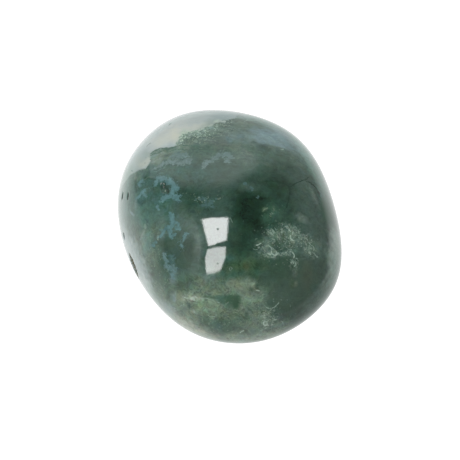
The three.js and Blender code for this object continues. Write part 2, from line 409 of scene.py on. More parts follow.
# The smaller ones, laid over them.
SMALL_PATCHES = [
    # at the bottom left, round the cream clump
    ((166, 284), (3.5, 20), 12, 0.7, LEAF_MOSS, 0.7),
    ((168, 299), (1.6, 6), -15, 0.8, DARK_MOSS, 0.5),
    ((174, 276), (4, 7), 0, 0.8, BLUE_HAZE, 0.5),
    ((172.5, 291.3), (2, 1.8), 0, 0.8, DARK_MOSS, 0.7),
    ((182, 265), (6, 3), 0, 0.8, SMOKE_MOSS, 0.7),
    ((182, 275), (7, 4.5), 0, 0.8, SEA_MOSS, 0.5),
    ((185, 285), (10, 5), 0, 0.7, BOTTLE_MOSS, 0.45),
    ((181, 282.5), (2, 1.5), 0, 0.8, SMOKE_MOSS, 0.6),
    ((200, 285), (7, 6), 0, 0.8, OLIVE_MOSS, 0.7),
    ((208, 277), (6, 4), 0, 0.8, BLUE_HAZE, 0.2),
    ((223.5, 273.5), (2.5, 3), 0, 0.8, TEAL_MOSS, 0.7),
    ((174, 297), (2.4, 5), 8, 0.8, BLUE_HAZE, 0.4),
    ((179.5, 297), (3.5, 5), 0, 0.8, BEIGE_MOSS, 0.8),
    ((189.6, 298.6), (6.5, 3.4), 10, 0.8, CLUMP, 0.7),
    ((192.4, 298.6), (2.6, 1.6), 15, 0.6, CREAM, 1),
    ((200, 298), (5, 2), -10, 0.8, PALE_EDGE, 0.5),
    ((189, 305), (4.2, 1.7), -58, 0.8, BOTTLE_MOSS, 0.9),
    ((185, 308.5), (3, 2), -40, 0.8, SEA_MOSS, 0.6),
    ((181.5, 313), (4, 5), 20, 0.8, SEA_MOSS, 0.5),
    ((168, 309), (9, 5), -40, 0.8, PALE_SKIN_AND_RIM_GLOW, 0.7),
    ((204, 319.5), (4.6, 4), 0, 0.7, LEAF_MOSS, 0.6),
    ((206, 337), (9, 3), -14, 0.8, PALE_OLIVE, 0.5),
    ((193.5, 312), (2.4, 1.8), 0, 0.8, PALE_EDGE, 0.5),
    ((213, 308), (13, 7), 0, 0.8, PALE_OLIVE, 0.35),
    ((208, 301.6), (8, 2.6), 0, 0.8, PALE_OLIVE, 0.7),
    # the leaf-shaped patch and what lies under it
    ((216, 297), (14, 1.8), -2, 0.7, LEAF_MOSS, 0.7),
    ((225, 300), (7.5, 4.2), 0, 0.5, LEAF_MOSS, 0.9),
    ((229.5, 305), (5.5, 4.6), 0, 0.8, LEAF_MOSS, 0.7),
    ((232.6, 299.8), (6.4, 4.6), 0, 0.3, LEAF_HEART, 0.9),
    ((238, 299.2), (3.9, 4.2), 0, 0.3, LEAF_HEART, 1),
    ((236, 304.8), (3.4, 5), 0, 0.4, LEAF_HEART, 1),
    ((236.6, 299.6), (4.4, 4), 0, 0.5, LEAF_HEART, 0.7),
    ((220, 324.5), (17, 5.2), 2, 0.7, LEAF_MOSS, 0.75),
    ((220, 325.5), (6, 4.5), 0, 0.7, LEAF_MOSS, 0.7),
    ((220, 325), (3.4, 3), 0, 0.8, TEAL_MOSS, 0.6),
    ((238, 324.5), (8, 2.4), 4, 0.8, FERN_MOSS, 0.45),
    ((212, 331), (7, 3), -8, 0.8, SEA_MOSS, 0.4),
    ((229, 337), (4.5, 3), 0, 0.8, PALE_OLIVE, 0.6),
    ((229, 331), (5, 2.6), 0, 0.8, LEAF_MOSS, 0.4),
    ((241, 337), (6, 2.6), 0, 0.8, GREY_MOSS, 0.6),
    ((248, 321), (9, 6), 20, 0.8, HAZE, 0.35),
    ((248, 325), (12, 5), 0, 0.8, PALE_OLIVE, 0.25),
    ((252, 333.5), (3, 5), 0, 0.8, GREY_MOSS, 0.5),
    ((240, 313), (5, 4), 0, 0.8, OLIVE_MOSS, 0.5),
    # in the fern and round the beige patch
    ((236, 274.5), (14, 5), 5, 0.8, LEAF_MOSS, 0.75),
    ((246.5, 265), (3, 4), 0, 0.8, BROWN_MOSS, 0.35),
    ((256, 273), (5, 4), 0, 0.8, LEAF_MOSS, 0.7),
    ((258.5, 266), (4, 5), 0, 0.8, DARK_MOSS, 0.6),
    ((265, 275), (5, 5), 0, 0.8, SLATE_MOSS, 0.5),
    ((239, 286), (12, 4.6), 6, 0.7, BEIGE_MOSS, 0.7),
    ((241, 284), (9, 4), 6, 0.8, PALE_OLIVE, 0.3),
    ((253.6, 284), (1.6, 2.2), 0, 0.8, PALE_OLIVE, 0.9),
    ((257, 285.5), (2, 2.6), 0, 0.8, SMOKE_MOSS, 0.9),
    ((251.6, 289.4), (2.6, 1.8), 0, 0.8, SMOKE_MOSS, 0.7),
    ((250.5, 293.5), (6, 1.6), -15, 0.8, GREY_MOSS, 0.5),
    ((251, 299), (8, 3.4), 0, 0.8, PALE_OLIVE, 0.9),
    ((262, 297), (1.4, 5), 0, 0.8, PALE_OLIVE, 0.6),
    ((269.5, 303), (4.5, 4), 0, 0.8, SMOKE_MOSS, 0.8),
    ((276, 312), (5, 5), 0, 0.8, BOTTLE_MOSS, 0.8),
    ((274.5, 309.6), (1.5, 1.3), 0, 0.8, DARK_MOSS, 0.9),
    ((259, 306.5), (5.5, 3.5), 0, 0.8, SEA_MOSS, 0.5),
    ((246.6, 315), (1.9, 3.2), 0, 0.7, SMOKE_MOSS, 0.8),
    ((261, 316), (4, 3.2), 0, 0.8, PALE_MOSS, 0.35),
    ((272, 325), (3, 5), 0, 0.8, SEA_MOSS, 0.6),
    ((284, 325), (8, 4.5), 25, 0.6, PALE_HAZE, 0.7),
    # in the smooth stone on the right
    ((281, 296), (13, 16), 0, 0.8, BOTTLE_MOSS, 0.35),
    ((307, 274), (5, 11), 0, 0.8, BROWN_MOSS, 0.22),
    ((294.5, 273), (2.4, 3.6), 0, 0.8, PALE_HAZE, 0.5),
    ((296.3, 283.5), (1.7, 2.2), 0, 0.8, BEIGE_MOSS, 0.6),
    ((292, 283), (2.2, 4), 0, 0.8, FERN_MOSS, 0.6),
    ((317, 291), (4, 6), 30, 0.8, TEAL_MOSS, 0.5),
    # on the right shoulder
    ((314, 196.5), (1.9, 8), 22, 0.8, PALE_MOSS, 0.4),
    ((297, 177), (9, 6), -20, 0.8, SLATE_MOSS, 0.75),
    ((302, 184), (5, 4), 0, 0.8, SEA_MOSS, 0.3),
    ((320, 195.5), (1.4, 4), 10, 0.8, TEAL_MOSS, 0.9),
    # under the white moss, and the green fleck
    ((302, 249), (6, 6), 0, 0.8, SLATE_MOSS, 0.6),
    ((265, 209.6), (2.8, 1.7), 35, 0.8, PALE_OLIVE, 0.45),
    ((274, 208.6), (2, 3), 0, 0.8, SEA_MOSS, 0.35),
    ((257, 253.5), (6, 4.5), 0, 0.8, HAZE, 0.4),
    # in the left flank, up to the window's reflection
    ((157, 159.6), (6, 5), 20, 0.8, UNDER_MILK, 0.6),
    ((166, 171), (10, 3), 0, 0.8, SEA_MOSS, 0.5),
    ((150, 178), (7, 1.6), -8, 0.8, DARK_MOSS, 0.6),
    ((176, 178.5), (4, 2.2), -30, 0.8, BOTTLE_MOSS, 0.8),
    ((136, 185), (1.3, 4), 0, 0.8, BOTTLE_MOSS, 0.6),
    ((149, 188), (6, 5), 0, 0.8, SEA_MOSS, 0.25),
    ((184, 192), (6, 4), 0, 0.8, DARK_MOSS, 0.6),
    ((168, 206), (8, 4), 0, 0.8, OLIVE_MOSS, 0.12),
    ((184, 219), (8, 7), 0, 0.8, SEA_MOSS, 0.4),
    ((149, 213), (7, 10), 0, 0.8, LEAF_MOSS, 0.6),
    ((162, 219), (5, 6), 0, 0.8, SEA_MOSS, 0.4),
    ((154, 230), (7, 5), 0, 0.8, OLIVE_MOSS, 0.3),
    ((147.4, 242), (5, 13), 6, 0.8, TEAL_SKIN_AND_RIM_GLOW, 0.35),
    ((145.6, 226.5), (1, 2), 0, 0.8, MINT_SKIN_AND_RIM_GLOW, 0.7),
    ((143.6, 232.6), (0.9, 3.4), -20, 0.8, PALE_SKIN_AND_RIM_GLOW, 0.5),
    ((142, 238), (0.9, 2.6), -15, 0.8, PALE_SKIN_AND_RIM_GLOW, 0.5),
    ((136.6, 202), (1.1, 8), -8, 0.8, BLUE_HAZE, 0.3),
    ((132, 213), (0.9, 3), 30, 0.8, BLUE_HAZE, 0.7),
    ((128.5, 208), (1.1, 13), -4, 0.8, TEAL_MOSS, 0.3),
    ((133.4, 226), (1.6, 8), -12, 0.8, SEA_MOSS, 0.5),
    ((168, 244), (10, 4.4), 0, 0.7, SMOKE_MOSS, 0.8),
    ((190, 248), (4.6, 9), 0, 0.8, DARK_MOSS, 0.5),
    ((199, 245), (4.5, 14), 0, 0.8, GREY_MOSS, 0.4),
    ((184, 268), (6, 7), 0, 0.8, BOTTLE_MOSS, 0.3),
    ((201, 239), (4, 10), 0, 0.8, LILAC_GREY, 0.2),
    ((144, 216), (8, 9), 0, 0.8, TEAL_SKIN_AND_RIM_GLOW, 0.3),
    ((176, 209), (8, 7), 0, 0.8, SEA_MOSS, 0.5),
    ((192, 200), (7, 9), 0, 0.8, DARK_MOSS, 0.5),
    ((193, 223), (7, 7), 0, 0.8, SEA_MOSS, 0.6),
    ((172, 244), (6, 4), 0, 0.8, SEA_MOSS, 0.3),
    ((181, 180), (6, 3), 0, 0.8, BOTTLE_MOSS, 0.5),
    ((153, 258), (6, 8), 0, 0.8, OLIVE_MOSS, 0.6),
    ((152, 274.5), (1.5, 1.8), 0, 0.8, DARK_MOSS, 0.9),
    ((152.5, 264.5), (1.2, 2), 0, 0.8, DARK_MOSS, 0.5),
    # in and round the dark core
    ((235.5, 239), (5.5, 16), 0, 0.6, SMOKE_MOSS, 0.6),
    ((237, 232), (3.4, 7), 0, 0.8, DARK_MOSS, 0.5),
    ((246, 248), (7, 7), 0, 0.8, DARK_MOSS, 0.6),
    ((242, 250), (10, 7), 0, 0.8, DARK_MOSS, 0.6),
    ((250, 233), (9, 5), 0, 0.8, DARK_MOSS, 0.5),
    ((259.6, 238), (4.6, 4), 0, 0.8, DARK_MOSS, 0.6),
    ((272, 226), (10, 4), -10, 0.8, DARK_MOSS, 0.45),
    ((265, 203.6), (4, 3), 0, 0.8, DARK_MOSS, 0.6),
    ((220, 214), (6, 8), 0, 0.8, SLATE_MOSS, 0.6),
    ((224, 242), (3, 9), 0, 0.8, SLATE_MOSS, 0.5),
    ((227, 259), (7, 4), 0, 0.8, TEAL_MOSS, 0.6),
    ((248, 187), (9, 3.8), 0, 0.8, SEA_MOSS, 0.4),
    ((258, 198.6), (12, 1.6), 5, 0.8, DEEP_MOSS, 0.7),
    # along the top
    ((189, 140), (9, 3.6), 20, 0.8, SLATE_MOSS, 0.6),
    ((206, 134), (9, 3), 10, 0.8, SLATE_MOSS, 0.35),
    ((242, 148), (2, 3), 0, 0.8, BOTTLE_MOSS, 0.5),
    ((264, 147), (6, 3), -10, 0.8, BOTTLE_MOSS, 0.5),
    ((244, 122), (8, 3), -10, 0.8, PALE_MOSS, 0.5),
    ((229, 146), (16, 4), 0, 0.8, BEIGE_MOSS, 0.3),
    ((222, 142.6), (15, 5), 0, 0.8, LILAC_GREY, 0.4),
    ((281, 145.5), (9, 1.4), -12, 0.8, BLUE_HAZE, 0.7),
]
BACK_PATCHES = {
    "grey back": ((230, 160), (110, 60), 0, 0.7, GREY_MOSS, 1),
    "sea back": ((190, 235), (70, 40), 10, 0.7, SEA_MOSS, 1),
    "dark back": ((262, 190), (44, 24), -20, 0.7, BOTTLE_MOSS, 0.9),
    "dark back heart": ((270, 194), (22, 13), -20, 0.8, DARK_MOSS, 0.8),
    "teal back": ((160, 200), (26, 30), 20, 0.7, TEAL_MOSS, 0.8),
    "haze back": ((230, 240), (34, 16), 30, 0.8, HAZE, 0.8),
    "leaf back": ((300, 260), (26, 30), 0, 0.7, LEAF_MOSS, 0.8),
    "olive back": ((220, 320), (70, 30), 0, 0.6, OLIVE_MOSS, 0.9),
    "smoke back": ((275, 300), (30, 20), 20, 0.7, SMOKE_MOSS, 0.9),
    "left skin back": ((134, 258), (14, 30), -18, 0.8, PALE_SKIN_AND_RIM_GLOW, 0.8),
    "right skin back": ((335, 250), (9, 34), 0, 0.9, PALE_SKIN_AND_RIM_GLOW, 0.8),
    "bottom skin back": ((230, 338), (60, 10), 5, 0.9, PALE_OLIVE, 0.8),
}
# The milky corner ends at a ragged line. It runs on round the far side, and is warm and creamy by the moss.
MILK_EDGE = [
    (118, 192), (131, 174), (138, 171), (145.5, 168), (149.5, 162), (149.6, 157), (150.4, 153), (156, 149.6),
    (163, 148.2), (170, 147.4), (176, 145.6), (177.4, 141), (179.4, 136.6), (184, 134), (190.6, 132),
    (198, 131.2), (204, 129), (208, 126.4), (213, 124.2), (217.6, 122.4), (226, 120.6), (235, 118),
    (250, 103),
]
MILK_BEYOND = [(250, 60), (60, 60), (60, 190)]
MILK_PATCHES = {
    "lilac": ((176, 130), (28, 9), 22, 0.8, LILAC_MILK, 1),
    "lilac at the left": ((158, 143), (11, 6), 30, 0.8, LILAC_MILK, 0.6),
    "grey over the fringe": ((193, 124), (10, 4), 15, 0.8, MILK, 0.4),
    "grey over the far fringe": ((208, 124.6), (9, 4.4), 20, 0.8, UNDER_MILK, 0.6),
    "dim milk at the limb": ((156, 127.6), (16, 4.4), 40, 0.9, MILK, 0.8),
    "warm milk": ((161, 140), (8, 4), 30, 0.8, CREAM, 0.5),
    "cream in the bend": ((174, 135), (6, 6), 60, 0.8, CREAM, 0.9),
    "warm low end": ((144, 161), (6, 9), -40, 0.8, PALE_EDGE, 0.5),
    "dim low end": ((144, 156), (6, 5), 0, 0.8, UNDER_MILK, 0.4),
    "cream at the left": ((147.2, 161), (2.5, 7), -35, 0.8, CREAM, 0.5),
    "blue milk at the limb": ((125, 160), (20, 6), 60, 0.8, BLUE_MILK, 0.8),
    "grey at the left": ((143, 156), (5, 6), 40, 0.8, MILK, 0.6),
    "thin milk at the left": ((125, 177), (10, 11), 0, 0.9, MINT_SKIN_AND_RIM_GLOW, 0.9),
    "mint fringe": ((182.6, 138), (8, 4), 48, 0.7, MINT, 0.8),
    "mint fringe at the top": ((197, 133.4), (14, 3.4), 8, 0.7, MINT, 0.8),
    "mint far fringe": ((219, 125), (12, 3), 18, 0.7, MINT, 0.6),
    "cream at the top": ((194, 126.6), (12, 3.4), 12, 0.8, CREAM, 0.5),
    "thin milk at the far end": ((236, 116), (16, 6), 0, 0.8, BLUE_HAZE, 0.5),
}
# A paler band of stone down the left limb, with a sharp edge.
LEFT_BAND = [
    (100, 150), (133, 172), (135.3, 181), (135.6, 192), (137, 200), (139, 205), (141, 211), (142.5, 217),
    (142.5, 260), (100, 260),
]
LEFT_BAND_STRENGTH = 0.85
# The heights on the picture from which the band begins to show, shows fully, begins to fade and is gone.
BAND_HEIGHTS = (164, 182, 210, 236)
# How far its sharp edge fades, and how far the milk's depth counts, in pixels.
BAND_FADE = 1
MILK_REACH = 9
# Where the stone turns away: from and to which cosine the front's patches begin and show fully.
FRONT_EDGE = (-0.1, 0.12)
# Each sway of the patches and lines: its reach in pixels, and the size and the seed of its ripple.
COARSE_SWAY = (0.9, 3.5, 21)
FINE_SWAY = (0.8, 1.1, 23)
LINE_SWAY = (0.4, 1.5, 27)
# Too small to matter, it keeps a divisor or a sign from being 0.
TINY = 1e-9

# Where the picture shows each vertex, in pixels, and whether it is in front, 1, or turned away, 0.
sight = stone_points - camera_place
scale = -CAMERA_DISTANCE / PIXEL / (sight @ picture_near)
picture = PICTURE_PIXELS / 2 + np.column_stack([sight @ picture_right * scale, sight @ -picture_up * scale])
sight /= np.linalg.norm(sight, axis=1, keepdims=True)
front = smooth(-(sight * outward(polished_points)).sum(axis=1), *FRONT_EDGE)


def swayed(reach, size, seed):
    """The picture places of the vertices moved by up to about two reaches, by two ripples of one size."""
    return picture + reach * np.column_stack([ripple(stone_points, size, seed + axis) for axis in (0, 1)])


def oval(places, middle, half_sizes, lean):
    """How far out places lie in an oval of the picture, whose long way leans up from level: 1 is its edge."""
    lean = math.radians(lean)
    along = (places - middle) @ [math.cos(lean), -math.sin(lean)]
    across = (places - middle) @ [math.sin(lean), math.cos(lean)]
    return np.hypot(along / half_sizes[0], across / half_sizes[1])


def spread(layer, places, patches, sheet):
    """Lays patches over a layer one after another, each as thick as its strength and fading at its edge."""
    for middle, half_sizes, lean, softness, kind, strength in patches:
        away = oval(places, middle, half_sizes, lean)
        cover = strength * sheet * (1 - smooth(away, 1 - softness, 1 + softness))
        layer += cover[:, None] * (np.array(kind) - layer)


def patched(places, front_patches, back_patches=()):
    """A number for every vertex, 0 but where patches raise it towards the number that is their kind."""
    layer = np.zeros((len(stone_points), 1))
    spread(layer, places, front_patches, front)
    spread(layer, places, back_patches, 1 - front)
    return layer[:, 0]


def line_distance(places, start, end):
    """The distance of places from the straight line between two points."""
    way = np.subtract(end, start)
    along = np.clip((places - start) @ way / max(way @ way, TINY), 0, 1)
    return np.linalg.norm(places - start - along[:, None] * way, axis=1)


def depth_in(places, corners):
    """How deep places lie inside a closed outline, in pixels, and less than 0 outside: the distance from its
    nearest side, with the sign by whether a line to the left crosses an odd number of sides."""
    distance = np.full(len(places), np.inf)
    inside = np.zeros(len(places), bool)
    for start, end in zip(corners, corners[1:] + corners[:1]):
        distance = np.minimum(distance, line_distance(places, start, end))
        spans = (start[1] > places[:, 1]) != (end[1] > places[:, 1])
        slope = (end[0] - start[0]) / (end[1] - start[1] or TINY)
        inside ^= spans & (places[:, 0] > start[0] + slope * (places[:, 1] - start[1]))
    return np.where(inside, distance, -distance)


ground = np.tile(BOTTLE_MOSS, (len(stone_points), 1))
drifted = swayed(*COARSE_SWAY) + swayed(*FINE_SWAY) - picture
traced = swayed(*LINE_SWAY)
spread(ground, drifted, FRONT_PATCHES.values(), front)
spread(ground, drifted, BACK_PATCHES.values(), 1 - front)
band = LEFT_BAND_STRENGTH * front * smooth(depth_in(traced, LEFT_BAND), -BAND_FADE, BAND_FADE)
band *= smooth(traced[:, 1], *BAND_HEIGHTS[:2]) * (1 - smooth(traced[:, 1], *BAND_HEIGHTS[2:]))
ground += band[:, None] * (np.array(BAND_MOSS) - ground)
spread(ground, traced, SMALL_PATCHES, front)
bare_floor = np.column_stack([pit_floor, np.tile(FLOOR_GRAINS, (len(ground), 1))])
ground += pit_cover[:, None] * (bare_floor - ground)
mark("ground", ground)
for name, column in (("grain", 3), ("fibre", 4), ("streak", 5)):
    mark(name, ground[:, column])

milk = np.tile(MILK, (len(stone_points), 1))
spread(milk, drifted, MILK_PATCHES.values(), front)
mark("milk", milk)
milk_depth = depth_in(traced, MILK_EDGE + MILK_BEYOND)
mark("milk_depth", np.clip(milk_depth, -MILK_REACH, MILK_REACH))

# Where dirt stuck to the polish, which is dull there: three specks within the window's reflection.
DULL_SPECKS = [
    ((218, 229), (1.1, 0.9), 0, 0.6, 1, 1),
    ((217.6, 263.6), (0.9, 0.9), 0, 0.6, 1, 0.8),
    ((209, 257), (0.8, 0.8), 0, 0.6, 1, 0.4),
]
mark("dull", patched(picture, DULL_SPECKS))


# The blue growths
#
# Branching ragged patches of blue-grey chalcedony between the moss, most of them on the left side and round
# the crown pit. Each is a chain of strokes, whose edges the material frays.
# Their colours, of which DEEP_BLUE shows through more of the moss than the others.
RING_BLUE = (0.12, 0.252, 0.262)
BAND_BLUE = (0.15, 0.265, 0.27)
TOP_BLUE = (0.15, 0.243, 0.236)
DEEP_BLUE = (0.075, 0.155, 0.145)
# Each stroke: its half width in pixels and the corners of its line. A stroke of one corner is a dot.
BLUE_STROKES = {
    TOP_BLUE: [
        (2.8, [(174, 156.8), (179, 155.2), (184.5, 155.8)]),
        (2.6, [(169, 161), (176, 162), (183, 162.2), (189, 160)]),
        (1.8, [(203.5, 166.7), (206, 162.5), (212, 160.9), (214, 158.2), (217.3, 156)]),
        (2.6, [(217.3, 156), (221.6, 154.5), (228, 155), (231, 157), (227.5, 159.8)]),
        (1.6, [(227, 138), (231, 141.5)]),
        (1.6, [(238.7, 136), (243, 137)]),
        (1.2, [(155.3, 168.5), (163.9, 163.6)]),
    ],
    RING_BLUE: [
        # round the crown pit
        (3.0, [(159, 178.8), (162, 178), (166, 179.7)]),
        (3.3, [(166, 180), (170, 181.6), (173.3, 184), (173.5, 188.7)]),
        (1.6, [(173.5, 187.6), (178, 187.4)]),
        (2.9, [(173, 189), (172.8, 194), (175.6, 196.6)]),
        (2.4, [(172.5, 194.4), (168, 196.4), (162.6, 200)]),
        (1.7, [(155, 185), (157, 181.4)]),
        (1.0, [(176, 199), (179, 200.2)]),
        (1.0, [(176, 196.6), (180, 195.6)]),
        # on the left flank
        (1.6, [(138.8, 184.8), (142.6, 181)]),
        (1.2, [(137, 198), (141, 194.4)]),
        (1.3, [(141, 193.6), (144.6, 190.6)]),
        (1.3, [(145.2, 196), (144.4, 194)]),
        (1.4, [(157.5, 207), (158.4, 209.6)]),
        # the dendrite
        (2.0, [(171, 214), (171.6, 219), (172.6, 224), (171, 227)]),
        (2.1, [(171, 227.6), (166, 228), (163.3, 230.4)]),
        (1.5, [(163.3, 230.4), (161.4, 235), (159, 237.4)]),
        (2.0, [(170, 231), (171.6, 236.6), (174, 235)]),
        (1.6, [(175, 221.4), (178.6, 224.6), (179.4, 228.4), (176.6, 228.6)]),
        (1.8, [(187, 234), (184.6, 237.4)]),
        (0.9, [(184.6, 237.4), (183, 241)]),
        (1.3, [(181.8, 245), (182.4, 246.6)]),
        (1.7, [(155.3, 242)]),
        (1.5, [(153.4, 245.6)]),
    ],
    BAND_BLUE: [
        (1.9, [(164.2, 254.4), (166, 260.3), (167.4, 267)]),
        (2.9, [(169, 268), (173.4, 268.6)]),
        (1.4, [(172.4, 274), (173, 279)]),
    ],
    DEEP_BLUE: [
        (2.1, [(169, 256.6), (173, 257)]),
        (2.4, [(171.4, 259), (172, 262)]),
        # the row of small ones above the window's reflection
        (1.5, [(199.5, 198.3), (203.5, 199)]),
        (1.8, [(205.4, 200.8)]),
        (1.9, [(202.4, 204.6), (206, 205)]),
        (2.1, [(209.6, 203.8), (213, 201)]),
        (1.3, [(196, 199.4)]),
        (1.2, [(211, 206.8), (213, 206.6)]),
        (1.2, [(216, 198.5)]),
        (1.4, [(243.7, 183.4), (246.5, 184)]),
        (1.5, [(252, 188.6)]),
        (1.3, [(257.6, 197)]),
    ],
}
BLUE_BACK_STROKES = {
    RING_BLUE: [
        (3.8, [(190, 150), (198, 146), (206, 150), (204, 158)]),
        (3.0, [(206, 150), (216, 152), (222, 147)]),
        (2.8, [(240, 228), (246, 236), (243, 246), (250, 252)]),
        (2.5, [(246, 236), (256, 234)]),
        (3.5, [(160, 240), (168, 246), (166, 256), (174, 262)]),
        (2.5, [(290, 210), (296, 218), (292, 226)]),
        (2.2, [(150, 180), (156, 186)]),
    ],
}
# How many half widths off a stroke no longer counts, and the half width below which a stroke is fine.
NO_STROKE = 4
FINE_STROKE = 1.4
STROKE_SWAY = (0.25, 0.9, 31)


def drawn(places, strokes):
    """How many half widths places lie from the nearest stroke, how far that is in pixels, and the stroke's
    colour. The first has the sign of the side on which they lie where the stroke is fine, so that it passes 0
    between two vertices where the stroke runs."""
    nearest = np.full(len(places), float(NO_STROKE))
    offset = nearest.copy()
    colour = np.zeros((len(places), 3))
    for kind, lines in strokes.items():
        for half_width, corners in lines:
            for start, end in zip(corners, corners[1:] or corners):
                away = line_distance(places, start, end)
                way = np.subtract(end, start)
                right = (places[:, 0] - start[0]) * way[1] - (places[:, 1] - start[1]) * way[0]
                side = np.sign(right + TINY) if half_width < FINE_STROKE else 1
                nearer = away / half_width < np.abs(offset)
                offset = np.where(nearer, side * away / half_width, offset)
                nearest = np.where(nearer, away, nearest)
                colour[nearer] = kind
    return offset, nearest, colour


def mark_strokes(name, front_strokes, back_strokes):
    """Keeps what is drawn on the side that each vertex is on, as the offset, the distance and the colour."""
    seen = [drawn(swayed(*STROKE_SWAY), strokes) for strokes in (front_strokes, back_strokes)]
    for ending, ahead, behind in zip(("_offset", "_distance", ""), *seen):
        chosen = front > 0.5 if ahead.ndim == 1 else (front > 0.5)[:, None]
        mark(name + ending, np.where(chosen, ahead, behind))


mark_strokes("blue", BLUE_STROKES, BLUE_BACK_STROKES)


# The white moss
#
# Fine curly threads of white chalcedony in a cloud on the right, and a few single ones. The thickest threads
# are drawn as strokes, and the material grows the finer curls between them wherever the cloud is thick.
# A patch of kind 1 thickens the curls, and one of kind 0 clears them.
FROST_PATCHES = {
    "cloud": ((289, 237), (22, 10), -12, 0.6, 1, 0.55),
    "crown of the cloud": ((292, 233), (9, 6), -20, 0.8, 1, 0.65),
    "left crown": ((272.5, 233), (5, 3.4), 0, 0.8, 1, 0.3),
    "left end": ((263, 248.5), (7, 4), 0, 0.7, 1, 0.35),
    "foot": ((275, 253.5), (13, 3), 0, 0.7, 1, 0.75),
    "hollow": ((278, 244), (5, 4.6), 0, 0.6, 0, 0.95),
    "second hollow": ((289, 246), (3, 3.4), 0, 0.6, 0, 0.9),
    "brown hollow": ((300, 246), (6, 4.5), 0, 0.7, 0, 0.9),
    "right end": ((310, 248), (9, 5), -55, 0.7, 1, 0.8),
    "tail": ((293.5, 262), (4, 6), 0, 0.7, 1, 0.4),
    "speckled end": ((267, 320), (10, 8), 20, 0.8, 1, 0.7),
    "cream clump": ((190, 297), (8, 4.5), 5, 0.8, 1, 0.8),
}
FROST_BACK_PATCHES = {
    "cloud": ((230, 242), (26, 12), 30, 0.7, 1, 0.7),
    "second cloud": ((180, 300), (18, 10), -20, 0.8, 1, 0.5),
}
